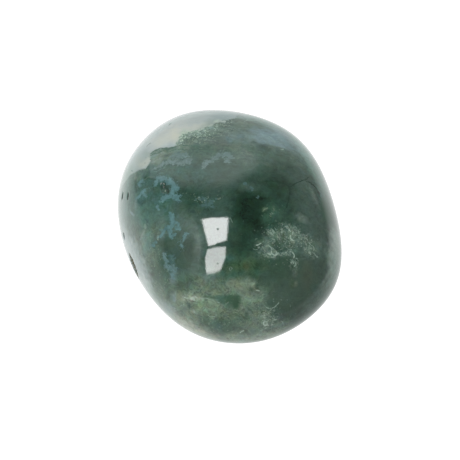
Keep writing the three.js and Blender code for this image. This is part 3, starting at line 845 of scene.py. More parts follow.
# The threads are strokes too, and so is a painted highlight: the window's white glint on the wall of the
# crown pit.
PAINTED_PIT_GLINT = (0.60, 0.62, 0.55)
BRIGHT = (0.45, 0.60, 0.50)
PALE = (0.29, 0.42, 0.345)
DIM = (0.17, 0.27, 0.215)
YELLOWISH = (0.18, 0.26, 0.16)
THREADS_AND_PIT_GLINT = {
    # a painted highlight: the window's glint on the crown pit's wall
    PAINTED_PIT_GLINT: [
        (0.90, [(163.8, 184.3)]),
    ],
    BRIGHT: [
        (0.60, [(289.4, 229.6), (290.2, 231)]),
        (0.64, [(293, 232.4), (292.6, 235)]),
        (0.64, [(290.6, 237.6), (291.3, 239.4), (294, 240.6)]),
        (0.50, [(290.6, 235.6), (289.8, 236.8)]),
        (0.46, [(256.2, 244.6), (258.4, 244.9), (260.4, 244.2)]),
        (0.28, [(258, 247.8), (260, 247.6)]),
        (0.50, [(158.3, 236), (158.3, 239)]),
        (0.44, [(269, 245.6), (271.2, 247.4), (271.4, 251), (271, 253.4)]),
        (0.70, [(268, 253.8), (270, 255), (272.4, 254.4), (275, 255)]),
        (0.56, [(276.4, 251.8), (277.4, 253.6), (276.4, 255.4)]),
        (0.72, [(291.6, 251.8), (293.6, 252.8), (294.8, 255), (294, 257.2)]),
        (0.56, [(291.6, 262.4), (292.4, 263)]),
        (0.56, [(311.6, 254.4)]),
        # the ring near the bottom and what lies round it
        (0.54, [(265.4, 321.5), (267.3, 322.5), (267.4, 324.8), (265.4, 325.9), (263.4, 324.8),
                (263.4, 322.5), (265.4, 321.5)]),
        (0.56, [(265.6, 328.2), (267.2, 328.2)]),
        (0.72, [(275, 319.3), (275.6, 319.3)]),
        (0.80, [(240.8, 332.4), (242.8, 330.8)]),
        (0.60, [(257.4, 289.8), (258.6, 290.2)]),
        # the cream clump
        (0.68, [(184.8, 297), (187, 298.2)]),
        (1.04, [(191, 298.2), (194.6, 299.4)]),
        (0.56, [(195.2, 296.2), (196.4, 296.8)]),
    ],
    PALE: [
        (0.48, [(285.6, 226.4), (287.4, 226.4)]),
        (0.44, [(298.2, 230), (298.6, 233)]),
        (0.48, [(272, 229.4), (273.4, 230.6)]),
        (0.48, [(270, 232.4), (272.3, 231.8), (274.6, 232.8)]),
        (0.40, [(272.2, 234.6), (274.6, 233.6)]),
        (0.44, [(272, 239), (274.2, 239.6)]),
        (0.48, [(255.4, 239.6), (256.6, 238.6)]),
        (0.40, [(263.2, 247.6), (264.6, 250), (264.4, 252.4)]),
        (0.36, [(271.4, 247.4), (274, 249.2)]),
        (0.44, [(279, 253), (279.6, 254.6)]),
        (0.40, [(281.8, 253.2), (284, 251.4), (286, 252.4), (288, 250.8), (290.4, 248.6)]),
        (0.36, [(287.6, 253.2), (290.6, 252.2)]),
        (0.40, [(295, 259.4), (296.8, 258.6), (297.8, 260.4)]),
        (0.48, [(295, 262.4), (296, 264.6), (294.6, 266.6)]),
        (0.48, [(303.2, 241.4), (304, 242.4)]),
        (0.40, [(304, 236.8), (305.6, 238.2), (307.8, 240)]),
        (0.40, [(308.6, 242.2), (310.4, 244.8)]),
        (0.40, [(309.6, 246), (310.4, 247.8)]),
        (0.40, [(312.6, 246), (313.6, 248.2), (314, 250.2)]),
        (0.36, [(308.6, 249.6), (309.6, 251.6), (311.4, 254)]),
        (0.40, [(315, 254), (316.8, 257.4)]),
        # near the bottom
        (0.50, [(266.4, 307.4), (271.4, 310), (275, 306.6), (278.4, 303)]),
        (0.36, [(281, 321), (283.2, 323.4)]),
        (0.44, [(192.4, 292.6), (192.2, 294)]),
        (0.48, [(199, 298.6), (205, 298), (213, 300)]),
        (0.36, [(217, 301.8), (219.6, 302.4)]),
        (0.48, [(180.5, 306.2), (183.6, 304.2)]),
        (0.48, [(176.6, 311.2)]),
        (0.48, [(213.5, 311.4), (216, 312.6)]),
        (0.36, [(207.4, 314.6), (211, 316.6), (216, 315.6)]),
        (0.36, [(185.4, 288.4)]),
        # single ones
        (0.48, [(144.5, 179.3)]),
        (0.62, [(275.4, 147.2)]),
        (0.66, [(281.9, 149.4), (282.6, 149.4)]),
        (0.55, [(284.2, 134.8)]),
        (0.60, [(244.4, 121.6), (246.8, 120.4)]),
        (0.36, [(287.2, 151.2)]),
        (0.40, [(230.4, 266.6), (232.4, 268.6), (230.6, 270.8), (228.6, 268.8), (230.4, 266.6)]),
    ],
    DIM: [
        (0.90, [(237.4, 293.2), (241, 295), (245, 297), (249.5, 299)]),
        (0.44, [(294.4, 226), (296.2, 227.4)]),
        (0.40, [(293.2, 228.4), (295.4, 229.4)]),
        (0.44, [(266.8, 233.2), (268.6, 234.2)]),
        (0.40, [(281, 229.5), (283, 232), (281.4, 235)]),
        (0.40, [(285, 230.5), (288, 231.5)]),
        (0.44, [(286.4, 241.4), (285.4, 244), (286, 246.8), (287.8, 248.6)]),
        (0.40, [(253.2, 248.6), (255, 250), (257.2, 249.6)]),
        (0.40, [(268.4, 242.4), (271.2, 241.2), (275, 242)]),
        (0.40, [(296.4, 234), (299.6, 237), (299, 240.6)]),
        (0.40, [(290.4, 259.4), (292.4, 260.6)]),
        (0.36, [(264, 305.4), (268, 308.4)]),
        (0.36, [(271, 315.4), (273.4, 318.2)]),
        (0.40, [(252, 318.6), (254, 316.4), (256, 318.2), (254.4, 319.8)]),
        (0.30, [(168.2, 283.4), (170, 283.8)]),
        (0.40, [(167.4, 271.2)]),
        (0.44, [(159, 211)]),
        (0.44, [(194.8, 193.8)]),
        (0.40, [(203.2, 194.2)]),
        (0.40, [(214.4, 193)]),
        (0.40, [(284.5, 135.4)]),
        (0.40, [(239.4, 152.6), (242.6, 152.6)]),
        (0.36, [(199.5, 148.6), (203.5, 148.4)]),
        (0.40, [(182.4, 264.6)]),
        (0.36, [(238.6, 212.4)]),
        (0.36, [(243.6, 220.4)]),
        (0.36, [(231, 218), (232, 222)]),
        (0.36, [(228.6, 236)]),
        (0.36, [(228.6, 245)]),
        (0.36, [(201, 231)]),
        (0.36, [(202, 237)]),
    ],
    YELLOWISH: [
        (0.50, [(263, 210.8), (264.4, 209.2), (267, 208.4)]),
        (0.30, [(273.6, 208.4), (273.8, 211)]),
        (0.40, [(269.2, 215.6), (270.8, 216.4)]),
    ],
}
BACK_THREADS = {
    PALE: [
        (1.0, [(214, 236), (220, 240), (226, 238), (230, 244)]),
        (0.9, [(230, 244), (236, 246), (240, 252)]),
        (0.9, [(222, 250), (228, 254), (226, 260)]),
        (0.8, [(240, 236), (246, 232), (250, 236)]),
        (1.0, [(176, 298), (182, 302), (188, 300)]),
        (0.8, [(188, 306), (194, 304)]),
    ],
}
mark_strokes("thread_and_glint", THREADS_AND_PIT_GLINT, BACK_THREADS)
mark("frost", patched(drifted, FROST_PATCHES.values(), FROST_BACK_PATCHES.values()))


# The granules
#
# Pale and dark grains the size of sand, thickest along the edge of the milk, where the moss began to grow.
GRANULE_PATCHES = {
    "bend of the edge": ((182.6, 138.4), (9, 4.6), 44, 0.7, 1, 1),
    "edge": ((199, 132.4), (16, 4.4), 10, 0.7, 1, 1),
    "far edge": ((220, 124), (16, 4.4), 18, 0.7, 1, 0.8),
    "under the edge": ((205, 138), (14, 6), 5, 0.8, 1, 0.5),
    "under the far edge": ((224, 130), (14, 6), 5, 0.8, 1, 0.45),
    "left edge": ((162, 150), (16, 3), 10, 0.7, 1, 0.3),
    "low left edge": ((146, 165), (8, 4), 45, 0.8, 1, 0.4),
    "row over the window": ((203, 197), (15, 5), 0, 0.8, 1, 0.5),
    "crown pit": ((163.6, 190.6), (3.4, 2.6), 0, 0.6, 1, 0.65),
    "cloud": ((284, 240), (26, 12), -12, 0.8, 1, 0.55),
    "under the cloud": ((274, 260), (16, 9), -10, 0.8, 1, 0.22),
    "fleck": ((270, 214), (10, 11), 0, 0.8, 1, 0.28),
    "bottom": ((235, 318), (62, 22), 5, 0.8, 1, 0.28),
    "left flank": ((156, 262), (12, 34), 20, 0.8, 1, 0.3),
    "speckled end": ((268, 319), (9, 8), 0, 0.8, 1, 0.5),
    "cream clump": ((190, 297), (10, 5), 5, 0.8, 1, 0.5),
}
# On the side turned away they are thin all over, and thicker near the edge of the milk, in pixels from it.
BACK_GRANULES = 0.2
BACK_EDGE_GRANULES = 0.7
BACK_EDGE_BELT = (-5, -1)
back_granules = BACK_EDGE_GRANULES * (1 - front) * smooth(-np.abs(milk_depth), *BACK_EDGE_BELT)
back_granules = np.maximum(back_granules, BACK_GRANULES * (1 - front))
mark("granules", np.maximum(patched(drifted, GRANULE_PATCHES.values()), back_granules))


# The cracks and dark specks
#
# A healed crack on the right, thin dark streaks beside the milky corner, and dark grains in pits and moss.
# The dark crescent in the crown pit is painted shadow.
# The crack colour, which also paints the shadow in the crown pit.
CRACK_AND_PIT_SHADOW = (0.008, 0.038, 0.021)
WISP = (0.095, 0.18, 0.135)
SEAMS_AND_PIT_SHADOW = {
    CRACK_AND_PIT_SHADOW: [
        (0.95, [(266, 181.4), (270, 181), (279, 182), (285, 183.6), (289.6, 187)]),
        (1.30, [(289.6, 186.5), (290, 192.6)]),
        (0.80, [(290, 192.6), (288.8, 200), (286, 208)]),
        (1.00, [(289.6, 187), (295.5, 183.3)]),
        (0.60, [(295.5, 183.3), (300.3, 181.7), (305, 179.5), (308.6, 177.2)]),
        (0.60, [(306, 181.4), (309.5, 182.4), (314.7, 186), (318, 191), (320.2, 197)]),
        # a painted shadow: the dark crescent on the shaded side of the crown pit
        (1.20, [(164.8, 186), (167, 188), (168.4, 190.4), (168, 192.6)]),
        (0.65, [(171.9, 234)]),
        (0.60, [(152, 274.4)]),
        (0.50, [(152.4, 255.6)]),
        (0.50, [(158.6, 262)]),
        (0.60, [(306.7, 168.3)]),
        (0.50, [(135, 265), (137.6, 270.6), (139.8, 276)]),
        (0.60, [(292.6, 237.6)]),
        (0.45, [(256.4, 287.8), (258.4, 288)]),
        (0.80, [(265.4, 323.6)]),
    ],
    WISP: [
        # beside the edge of the milk
        (0.70, [(150.6, 153), (155.3, 150.4), (160.7, 148.4), (167.6, 148.4), (175.6, 147)]),
        (0.60, [(149.4, 156.4), (153, 154.3), (158, 152.6), (163, 150.8), (167.4, 149.6)]),
        (0.55, [(167, 151.6), (174, 150), (180, 149.4), (186, 149.6)]),
        (0.50, [(182, 144.4), (190, 146.4), (198, 145.6)]),
        (0.45, [(203, 150.6), (209, 152), (216, 151.4)]),
        (0.32, [(146.4, 146.8), (148.4, 144.6), (150.4, 143)]),
        (0.28, [(168.4, 124.8), (171.6, 122.4)]),
        (0.60, [(145.7, 157.7)]),
        (0.50, [(144.7, 163.3)]),
        (0.80, [(132, 170.4)]),
        (0.70, [(186, 134.6), (188, 135)]),
        (0.70, [(199.7, 132)]),
        (0.80, [(208.3, 127.5)]),
        (0.60, [(212, 128.4)]),
        (0.60, [(222.7, 126.7)]),
        (0.60, [(144.6, 179.6), (149, 177.2), (154, 176.4)]),
        (0.55, [(177.7, 158)]),
    ],
}
BACK_SEAMS = {
    CRACK_AND_PIT_SHADOW: [
        (0.8, [(200, 200), (208, 206), (212, 216), (222, 222)]),
        (0.6, [(212, 216), (208, 226)]),
    ],
}
mark_strokes("seam_and_shadow", SEAMS_AND_PIT_SHADOW, BACK_SEAMS)


# The polished agate
#
# Chalcedony with a glassy polish. Its colour is the ground of milk and moss, broken up by grains of moss of
# several sizes, with the blue growths, the milk, the granules, the white threads and the cracks over it.
AGATE_IOR = 1.54
# The share of a ridge's width in which it is full.
RIDGE_TOP = 0.25


def node_material(name):
    """A new material that nodes make up."""
    material = bpy.data.materials.new(name)
    material.use_nodes = True
    return material


def fill(tree, node, sockets):
    """Gives each of a node's sockets its value, or joins it to the output of another node."""
    for socket, value in sockets.items():
        if isinstance(value, bpy.types.NodeSocket):
            tree.links.new(value, node.inputs[socket])
        else:
            node.inputs[socket].default_value = value


def add(tree, kind, sockets=None, **settings):
    """A new node of a tree, with its settings made and its sockets filled."""
    node = tree.nodes.new("ShaderNode" + kind)
    for name, value in settings.items():
        setattr(node, name, value)
    fill(tree, node, sockets or {})
    return node


agate = node_material("polished_moss_agate")
agate_tree = agate.node_tree


def kept(name, output="Fac"):
    """What every vertex carries under a name: a number, or with the output Color a colour."""
    return add(agate_tree, "Attribute", attribute_name=name).outputs[output]


def calculated(operation, *values):
    """One step of arithmetic with numbers."""
    return add(agate_tree, "Math", dict(enumerate(values)), operation=operation).outputs["Value"]


def product(first, *others):
    """The numbers multiplied by one another."""
    for other in others:
        first = calculated("MULTIPLY", first, other)
    return first


def raised(base, share, value):
    """The base plus a share of the value."""
    return calculated("MULTIPLY_ADD", value, share, base)


def combined(operation, *values):
    """One step of arithmetic with places or colours."""
    return add(agate_tree, "VectorMath", dict(enumerate(values)), operation=operation).outputs["Vector"]


def toned(colour, tone):
    """A place or a colour multiplied by a number."""
    return add(agate_tree, "VectorMath", {0: colour, "Scale": tone}, operation="SCALE").outputs["Vector"]


def noise(place, pattern, output="Fac"):
    """Cloudy noise round a half. Its pattern is the size of the clumps in millimetres, and the number and the
    strength of the finer layers in them."""
    size, layers, strength = pattern
    sockets = {"Vector": place, "Scale": 1 / size, "Detail": layers, "Roughness": strength}
    return add(agate_tree, "TexNoise", sockets).outputs[output]


def swing(place, pattern):
    """The same noise, round 0."""
    return calculated("SUBTRACT", noise(place, pattern), 0.5)


def colour_swing(place, pattern):
    """Noise round 0 in each of the three parts of a place or a colour."""
    return combined("SUBTRACT", noise(place, pattern, "Color"), (0.5, 0.5, 0.5))


def stepped(value, low, high):
    """0 below low and 1 above high, smooth between, or the other way round where low is the higher."""
    sockets = {"Value": value, "From Min": low, "From Max": high}
    return add(agate_tree, "MapRange", sockets, interpolation_type="SMOOTHSTEP").outputs["Result"]


def ridge(value, width):
    """1 where a value is 0, and 0 where it is further off than a width."""
    return calculated("SUBTRACT", 1.0, stepped(calculated("ABSOLUTE", value), RIDGE_TOP * width, width))


def mixed(share, first, second):
    """The first colour, and the second where the share is 1."""
    return add(agate_tree, "Mix", {0: share, 6: first, 7: second}, data_type="RGBA").outputs[2]


# The patterns of noise lie in a stone that is itself bent by noise, so that none of them runs straight.
BEND = (2.0, 2, 0.5)
BEND_REACH = 1.8
place = toned(add(agate_tree, "TexCoord").outputs["Object"], 1 / MM)
bent = combined("MULTIPLY_ADD", colour_swing(place, BEND), (BEND_REACH,) * 3, place)

# The grain: fine and coarse clouds, thin fibres, the nested rings of a contour map, and long level streaks.
# A trace of noise tints the colour.
FINE_GRAIN = (0.38, 5, 0.62)
COARSE_GRAIN = (1.7, 4, 0.6)
FINE_SHARE = 1.3
COARSE_SHARE = 1.7
FIBRES = (0.9, 4, 0.6)
FIBRE_WIDTH = 0.09
FIBRE_SHARE = 0.45
RINGS = (2.6, 2, 0.5)
RING_TURNS = 60.0
RING_SHARE = 0.07
# What the fibres and rings would add on the whole, taken off again.
FIBRE_LIGHT = 0.12
STREAKS = (0.5, 4, 0.6)
STREAK_STRETCH = (0.22, 1, 1)
STREAK_SHARE = 1.2
LEAST_TONE = 0.3
TINT = (1.1, 3, 0.5)
TINT_SHARES = (0.7, 0.3, 0.7)
fine = swing(bent, FINE_GRAIN)
coarse = swing(bent, COARSE_GRAIN)
rings = calculated("SINE", product(noise(bent, RINGS), RING_TURNS))
fibres = ridge(swing(bent, FIBRES), FIBRE_WIDTH)
stretched = add(agate_tree, "Mapping", {"Vector": bent, "Scale": STREAK_STRETCH}).outputs["Vector"]
streaks = swing(stretched, STREAKS)
grained = raised(product(fine, FINE_SHARE), COARSE_SHARE, coarse)
fibred = calculated("SUBTRACT", raised(product(rings, RING_SHARE), FIBRE_SHARE, fibres), FIBRE_LIGHT)
tone = raised(1.0, kept("grain"), grained)
tone = raised(tone, kept("fibre"), fibred)
tone = raised(tone, kept("streak"), product(streaks, STREAK_SHARE))
tone = calculated("MAXIMUM", tone, LEAST_TONE)
tint = toned(colour_swing(bent, TINT), kept("grain"))
tint = combined("MULTIPLY_ADD", tint, TINT_SHARES, (1, 1, 1))
colour = combined("MULTIPLY", kept("ground", "Color"), toned(tint, tone))

# The blue growths, frayed at their edges. An edge, here and below, is where a thing begins and where it is
# full. A fraying is how strongly noise moves it.
BLUE_FRAY = (0.45, 4, 0.65)
BLUE_FRAYING = 5.5
BLUE_EDGE = (1.5, 0.6)
BLUE_STRENGTH = 0.85
BLUE_CLOUDS = (0.6, 3, 0.5)
BLUE_CLOUD_SHARE = 1.2
blue_off = raised(calculated("ABSOLUTE", kept("blue_offset")), BLUE_FRAYING, swing(bent, BLUE_FRAY))
blue_cover = product(stepped(blue_off, *BLUE_EDGE), BLUE_STRENGTH)
blue_tone = raised(1.0, BLUE_CLOUD_SHARE, swing(bent, BLUE_CLOUDS))
colour = mixed(blue_cover, colour, toned(kept("blue", "Color"), blue_tone))

# The milk, whose edge the granules break up, though hardly deeper into it than MILK_SOLID pixels.
MILK_CLOUD_SHARE = 0.12
MILK_STREAK_SHARE = 0.15
MILK_FRAY = (0.42, 4, 0.65)
MILK_FRAYING = 2.2
GRANULE_FRAYING = 7.0
MILK_SOLID = 2.0
MILK_EDGE_BELT = (-0.9, 0.9)
granules = kept("granules")
milk_tone = raised(raised(1.0, MILK_STREAK_SHARE, streaks), MILK_CLOUD_SHARE, coarse)
fraying = raised(MILK_FRAYING, GRANULE_FRAYING, granules)
milk_edge = raised(kept("milk_depth"), fraying, swing(bent, MILK_FRAY))
milk_edge = calculated("MAXIMUM", milk_edge, calculated("SUBTRACT", kept("milk_depth"), MILK_SOLID))
milk_cover = stepped(milk_edge, *MILK_EDGE_BELT)
colour = mixed(milk_cover, colour, toned(kept("milk", "Color"), milk_tone))

# The granules over it: some of the cells of a fine sponge are pale, and some are dark, the more the thicker
# they grow. The dark ones are faint on the milk.
CELLS_PER_MM = 3.8
CELL_RIM = (0.25, 0.6)
PALE_GRANULE = (0.56, 0.73, 0.58, 1)
PALE_GRANULE_MORE = 0.66
PALE_GRANULE_EDGE = (0.97, 1.08)
PALE_GRANULE_LEAST = 0.12
PALE_GRANULE_STRENGTH = 0.68
DARK_GRANULE = (0.05, 0.105, 0.075, 1)
DARK_GRANULE_MORE = -0.3
DARK_GRANULE_EDGE = (0.03, -0.08)
DARK_GRANULE_STRENGTH = 0.7
DARK_GRANULE_LOSS_ON_MILK = -0.6
cells = add(agate_tree, "TexVoronoi", {"Vector": bent, "Scale": CELLS_PER_MM})
cell_tone = add(agate_tree, "SeparateColor", {"Color": cells.outputs["Color"]}).outputs["Red"]
cell_heart = calculated("SUBTRACT", 1.0, stepped(cells.outputs["Distance"], *CELL_RIM))
pale = stepped(raised(cell_tone, PALE_GRANULE_MORE, granules), *PALE_GRANULE_EDGE)
dark = stepped(raised(cell_tone, DARK_GRANULE_MORE, granules), *DARK_GRANULE_EDGE)
pale_strength = raised(PALE_GRANULE_LEAST, PALE_GRANULE_STRENGTH, product(granules, granules))
colour = mixed(product(pale, cell_heart, pale_strength), colour, PALE_GRANULE)
dark_strength = raised(DARK_GRANULE_STRENGTH, DARK_GRANULE_LOSS_ON_MILK, milk_cover)
colour = mixed(product(dark, cell_heart, dark_strength), colour, DARK_GRANULE)

# The curls of white moss, which break off where CURL_GAPS is low.
CURLS = (0.38, 2, 0.5)
CURL_WIDTH = 0.13
CURL_GAPS = (0.6, 3, 0.6)
CURL_GAP_EDGE = (0.44, 0.58)
CURL_STRENGTH = 0.8
CURL_TONES = (0.4, 2, 0.5)
CURL_TONE_EDGE = (0.4, 0.65)
CURL_COLOURS = ((0.20, 0.30, 0.24, 1), (0.52, 0.64, 0.54, 1))
curls = product(ridge(swing(bent, CURLS), CURL_WIDTH), stepped(noise(place, CURL_GAPS), *CURL_GAP_EDGE))
curl_colour = mixed(stepped(noise(place, CURL_TONES), *CURL_TONE_EDGE), *CURL_COLOURS)
colour = mixed(product(curls, kept("frost"), CURL_STRENGTH), colour, curl_colour)

# The single threads and the painted glint in the crown pit, thinner here and there, and the cracks, specks
# and painted shadow in the crown pit, all with slightly uneven sides.
LINE_REACH = (1.7, 0.9)
LINE_FRAYING = 4.0
LINE_EDGE = (1.35, 0.3)
THREAD_GAPS = (0.45, 2, 0.5)
THREAD_GAP_EDGE = (0.36, 0.5)
THREAD_LEAST = 0.25
THREAD_MORE = 0.6
CRACK_STRENGTH = 0.8


def line_cover(name, thickness):
    """How thickly drawn lines cover the stone: fully on them, and not at all about a half width off."""
    close = stepped(kept(name + "_distance"), *LINE_REACH)
    uneven = raised(calculated("ABSOLUTE", kept(name + "_offset")), LINE_FRAYING, fine)
    return product(stepped(uneven, *LINE_EDGE), close, thickness)


thickness = raised(THREAD_LEAST, THREAD_MORE, stepped(noise(place, THREAD_GAPS), *THREAD_GAP_EDGE))
colour = mixed(line_cover("thread_and_glint", thickness), colour, kept("thread_and_glint", "Color"))
colour = mixed(line_cover("seam_and_shadow", CRACK_STRENGTH), colour, kept("seam_and_shadow", "Color"))

# Seen at a low angle, the light that comes back out of the stone pales it.
LIMB_BLEND = 0.5
LIMB_EDGE = (0.5, 0.95)
LIMB_STRENGTH = 0.4
LIMB_COLOUR = (0.27, 0.43, 0.37, 1)
low_angle = stepped(add(agate_tree, "LayerWeight", {"Blend": LIMB_BLEND}).outputs["Facing"], *LIMB_EDGE)
colour = mixed(product(low_angle, LIMB_STRENGTH), colour, LIMB_COLOUR)

# The polish, a little scratched, duller in the pits and where dirt sticks to it, and gritty in the pits.
POLISH = 0.03
SCRATCHES = (0.25, 3, 0.6)
SCRATCH_SHARE = 0.02
PIT_DULLNESS = 0.08
DIRT_DULLNESS = 0.5
PIT_GRIT = (0.2, 3, 0.5)
BUMP_STRENGTH = 0.02
BUMP_HEIGHT = 0.1
pit_share = kept("pit")
roughness = raised(POLISH, SCRATCH_SHARE, noise(place, SCRATCHES))
roughness = raised(roughness, PIT_DULLNESS, pit_share)
roughness = raised(roughness, DIRT_DULLNESS, kept("dull"))
grit = raised(fine, pit_share, noise(place, PIT_GRIT))
bump = add(agate_tree, "Bump", {"Height": grit, "Strength": BUMP_STRENGTH, "Distance": BUMP_HEIGHT * MM})
fill(agate_tree, agate_tree.nodes["Principled BSDF"], {
    "IOR": AGATE_IOR,
    "Base Color": colour,
    "Roughness": roughness,
    "Normal": bump.outputs["Normal"],
})
stone_mesh.materials.append(agate)

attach(stone, "root")
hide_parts("moss_agate")


# The table
#
# A sheet of white acrylic that the pebble lies on, far wider than the picture, glowing as if lit from below.
# It is white to the camera. To the polish it glows with a painted pool of light round the pebble and a
# painted shadow on the pebble's lower right, which the polish mirrors.
TABLE_HALF = 1500.0
TABLE_WHITE = 1.15
POOL_MIDDLE = (0, 0)
POOL_RADII = (15, 130)
POOL_LIGHT = 1.12
FAR_TABLE_LIGHT = 0.42
SHADE_MIDDLE = (28, -26)
SHADE_RADIUS = 60
SHADE = 0.5

table_mesh = bpy.data.meshes.new("white_table")
table_corners = np.array([(-1, -1, 0), (1, -1, 0), (1, 1, 0), (-1, 1, 0)]) * TABLE_HALF * MM
table_mesh.from_pydata(table_corners.tolist(), [], [(0, 1, 2, 3)])
table = placed("white_table", table_mesh)
acrylic = node_material("white_acrylic")
acrylic_tree = acrylic.node_tree


def fade_from(middle, radii, values):
    """A value that goes smoothly from the first of two to the second between two distances from a point."""
    table_place = add(acrylic_tree, "TexCoord").outputs["Object"]
    point = (middle[0] * MM, middle[1] * MM, 0)
    gap = add(acrylic_tree, "VectorMath", {0: table_place, 1: point}, operation="DISTANCE")
    fade = add(acrylic_tree, "MapRange", {
        "Value": gap.outputs["Value"],
        "From Min": radii[0] * MM,
        "From Max": radii[1] * MM,
        "To Min": values[0],
        "To Max": values[1],
    }, interpolation_type="SMOOTHSTEP")
    return fade.outputs["Result"]


pool = fade_from(POOL_MIDDLE, POOL_RADII, (POOL_LIGHT, FAR_TABLE_LIGHT))
# A painted shadow of the pebble on its lower right, in the glow that the polish mirrors.
shade = fade_from(SHADE_MIDDLE, (0, SHADE_RADIUS), (SHADE, 1))
shaded_pool = add(acrylic_tree, "Math", {0: pool, 1: shade}, operation="MULTIPLY")
light_seen = add(acrylic_tree, "Mix", {
    "Factor": add(acrylic_tree, "LightPath").outputs["Is Camera Ray"],
    "A": shaded_pool.outputs["Value"],
    "B": TABLE_WHITE,
})
fill(acrylic_tree, acrylic_tree.nodes["Principled BSDF"], {
    "Base Color": (0, 0, 0, 1),
    "Specular IOR Level": 0,
    "Emission Color": (1, 1, 1, 1),
    "Emission Strength": light_seen.outputs["Result"],
})
table_mesh.materials.append(acrylic)


# The light
#
# Glowing panels hung round the table. Each is given by the pixels of the picture in which the polished pebble
# mirrors its corners, so that its reflection falls there.
PANEL_DISTANCE = 400.0
SIGHT_STEPS = 2001
HALVINGS = 30


def seen_in(pixel):
    """The point of the pebble that a pixel of the picture shows, and the view's direction there: even steps
    along the line of sight to the first one inside the stone, then halvings back to where the gauge is 1."""
    across, down = (np.array(pixel) - PICTURE_PIXELS / 2) * PIXEL
    aim = look_point + across * picture_right - down * picture_up
    sight = (aim - camera_place) / np.linalg.norm(aim - camera_place)
    travel = np.linspace(CAMERA_DISTANCE - HALF_LENGTH, CAMERA_DISTANCE + HALF_LENGTH, SIGHT_STEPS)
    start = camera_place - lump_middle
    inside = gauge(start + travel[:, None] * sight) < 1
    far = travel[np.argmax(inside)]
    near = far - (travel[1] - travel[0])
    for _ in range(HALVINGS):
        middle = (near + far) / 2
        near, far = (near, middle) if gauge(start + middle * sight) < 1 else (middle, far)
    return start + near * sight, sight


def mirrored(pixel, distance):
    """Where the line of sight through a pixel, once the pebble has mirrored it, has gone that distance."""
    point, sight = seen_in(pixel)
    normal = outward(point)
    return point + lump_middle + distance * (sight - 2 * (sight @ normal) * normal)


def panel(name, rows):
    """A glowing panel. Each of its rows is the light there, one for the row or one for each corner, and the
    corners' pixels, and quads join each row to the next."""
    corners = np.array([mirrored(pixel, PANEL_DISTANCE) for _, pixels in rows for pixel in pixels])
    lights = [np.broadcast_to(light, len(pixels)) for light, pixels in rows]
    width = len(lights[0])
    quads = [
        (row * width + i, row * width + i + 1, (row + 1) * width + i + 1, (row + 1) * width + i)
        for row in range(len(rows) - 1)
        for i in range(width - 1)
    ]
    mesh = bpy.data.meshes.new(name)
    mesh.from_pydata((corners * MM).tolist(), [], quads)
    mesh.attributes.new("light", "FLOAT", "POINT").data.foreach_set("value", np.concatenate(lights))
    glow = node_material(name)
    glow.node_tree.nodes.clear()
    strength = add(glow.node_tree, "Attribute", attribute_name="light").outputs["Fac"]
    emission = add(glow.node_tree, "Emission", {"Strength": strength}).outputs["Emission"]
    add(glow.node_tree, "OutputMaterial", {"Surface": emission})
    mesh.materials.append(glow)
    made = placed(name, mesh)
    made.visible_camera = False
    made.visible_shadow = False


# The two panes of a bright window. The lower one fades out at its foot.
WINDOW_LIGHT = 14.0
LOWER_PANE_LIGHT = 10.5
panel("upper_pane", [
    (WINDOW_LIGHT, [(202.1, 219.8), (210.4, 217.8), (228.4, 217.5)]),
    (WINDOW_LIGHT, [(208.4, 246.1), (216.5, 243.6), (226.5, 240.2)]),
])
panel("lower_pane", [
    (LOWER_PANE_LIGHT, [(207.9, 249.4), (216.5, 247.1), (225.7, 246.8)]),
    (LOWER_PANE_LIGHT, [(205.3, 258.6), (215, 258.4), (225.2, 258.1)]),
    (LOWER_PANE_LIGHT, [(206.1, 271.5), (214, 271.2), (221.4, 268.5)]),
    (0, [(206.5, 275.5), (214, 275), (220, 272)]),
])

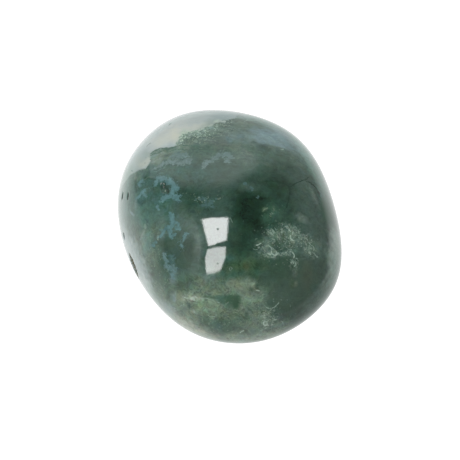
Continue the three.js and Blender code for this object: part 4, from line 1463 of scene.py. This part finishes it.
# Two large dim cards, seen as soft veils. The far one fades out at its top and foot, and the left one at all
# of its sides but the right.
FAR_CARD_LIGHT = 1.2
panel("far_card", [
    (0, [(150, 187), (185, 193), (217, 192), (233, 189), (246, 182), (259, 173), (266, 158)]),
    (FAR_CARD_LIGHT, [(150, 177), (185, 180), (217, 179), (228, 177), (239, 171), (247, 165), (252, 154)]),
    (FAR_CARD_LIGHT, [(150, 166), (185, 166), (217, 164), (225, 163), (232, 160), (238, 156), (243, 148)]),
    (0, [(150, 152), (185, 148), (217, 145), (222, 145), (228, 144), (232, 142), (236, 138)]),
])
LEFT_CARD_LIGHT = 0.95
panel("left_card", [
    (0, [(165, 206), (176, 209), (185, 212), (193, 215)]),
    ([0, 0.4, 0.8, 0.8], [(165, 218), (178, 221), (188, 223), (197.5, 226)]),
    ([0, 0.5, LEFT_CARD_LIGHT, LEFT_CARD_LIGHT], [(165, 236), (181, 236), (191, 236), (200.5, 238)]),
    ([0, 0.5, LEFT_CARD_LIGHT, LEFT_CARD_LIGHT], [(165, 252), (181, 252), (191, 252), (201, 252)]),
    ([0, 0.3, 0.6, 0.7], [(165, 265), (180, 266), (190, 266), (200, 266)]),
    (0, [(165, 280), (180, 281), (190, 281), (198, 281)]),
])


# The room
#
# A dim white room with a darker ceiling, which the polish mirrors. The camera sees a plain pale backdrop.
WALL_LIGHT = 0.45
CEILING_LIGHT = 0.12
# How steeply up the walls end and the ceiling is full: the height of a direction one long.
CEILING_EDGE = (0.55, 0.92)
BACKDROP_WHITE = 1.2

world = bpy.data.worlds.new("studio")
world.use_nodes = True
bpy.context.scene.world = world
world_tree = world.node_tree
direction = add(world_tree, "TexCoord").outputs["Generated"]
room_light = add(world_tree, "MapRange", {
    "Value": add(world_tree, "SeparateXYZ", {"Vector": direction}).outputs["Z"],
    "From Min": CEILING_EDGE[0],
    "From Max": CEILING_EDGE[1],
    "To Min": WALL_LIGHT,
    "To Max": CEILING_LIGHT,
}, interpolation_type="SMOOTHSTEP")
room = world_tree.nodes["Background"]
fill(world_tree, room, {"Color": (1, 1, 1, 1), "Strength": room_light.outputs["Result"]})
backdrop = add(world_tree, "Background", {"Strength": BACKDROP_WHITE})
either = add(world_tree, "MixShader", {
    "Fac": add(world_tree, "LightPath").outputs["Is Camera Ray"],
    1: room.outputs["Background"],
    2: backdrop.outputs["Background"],
})
fill(world_tree, world_tree.nodes["World Output"], {"Surface": either.outputs["Shader"]})

bpy.context.scene.view_settings.view_transform = "Standard"
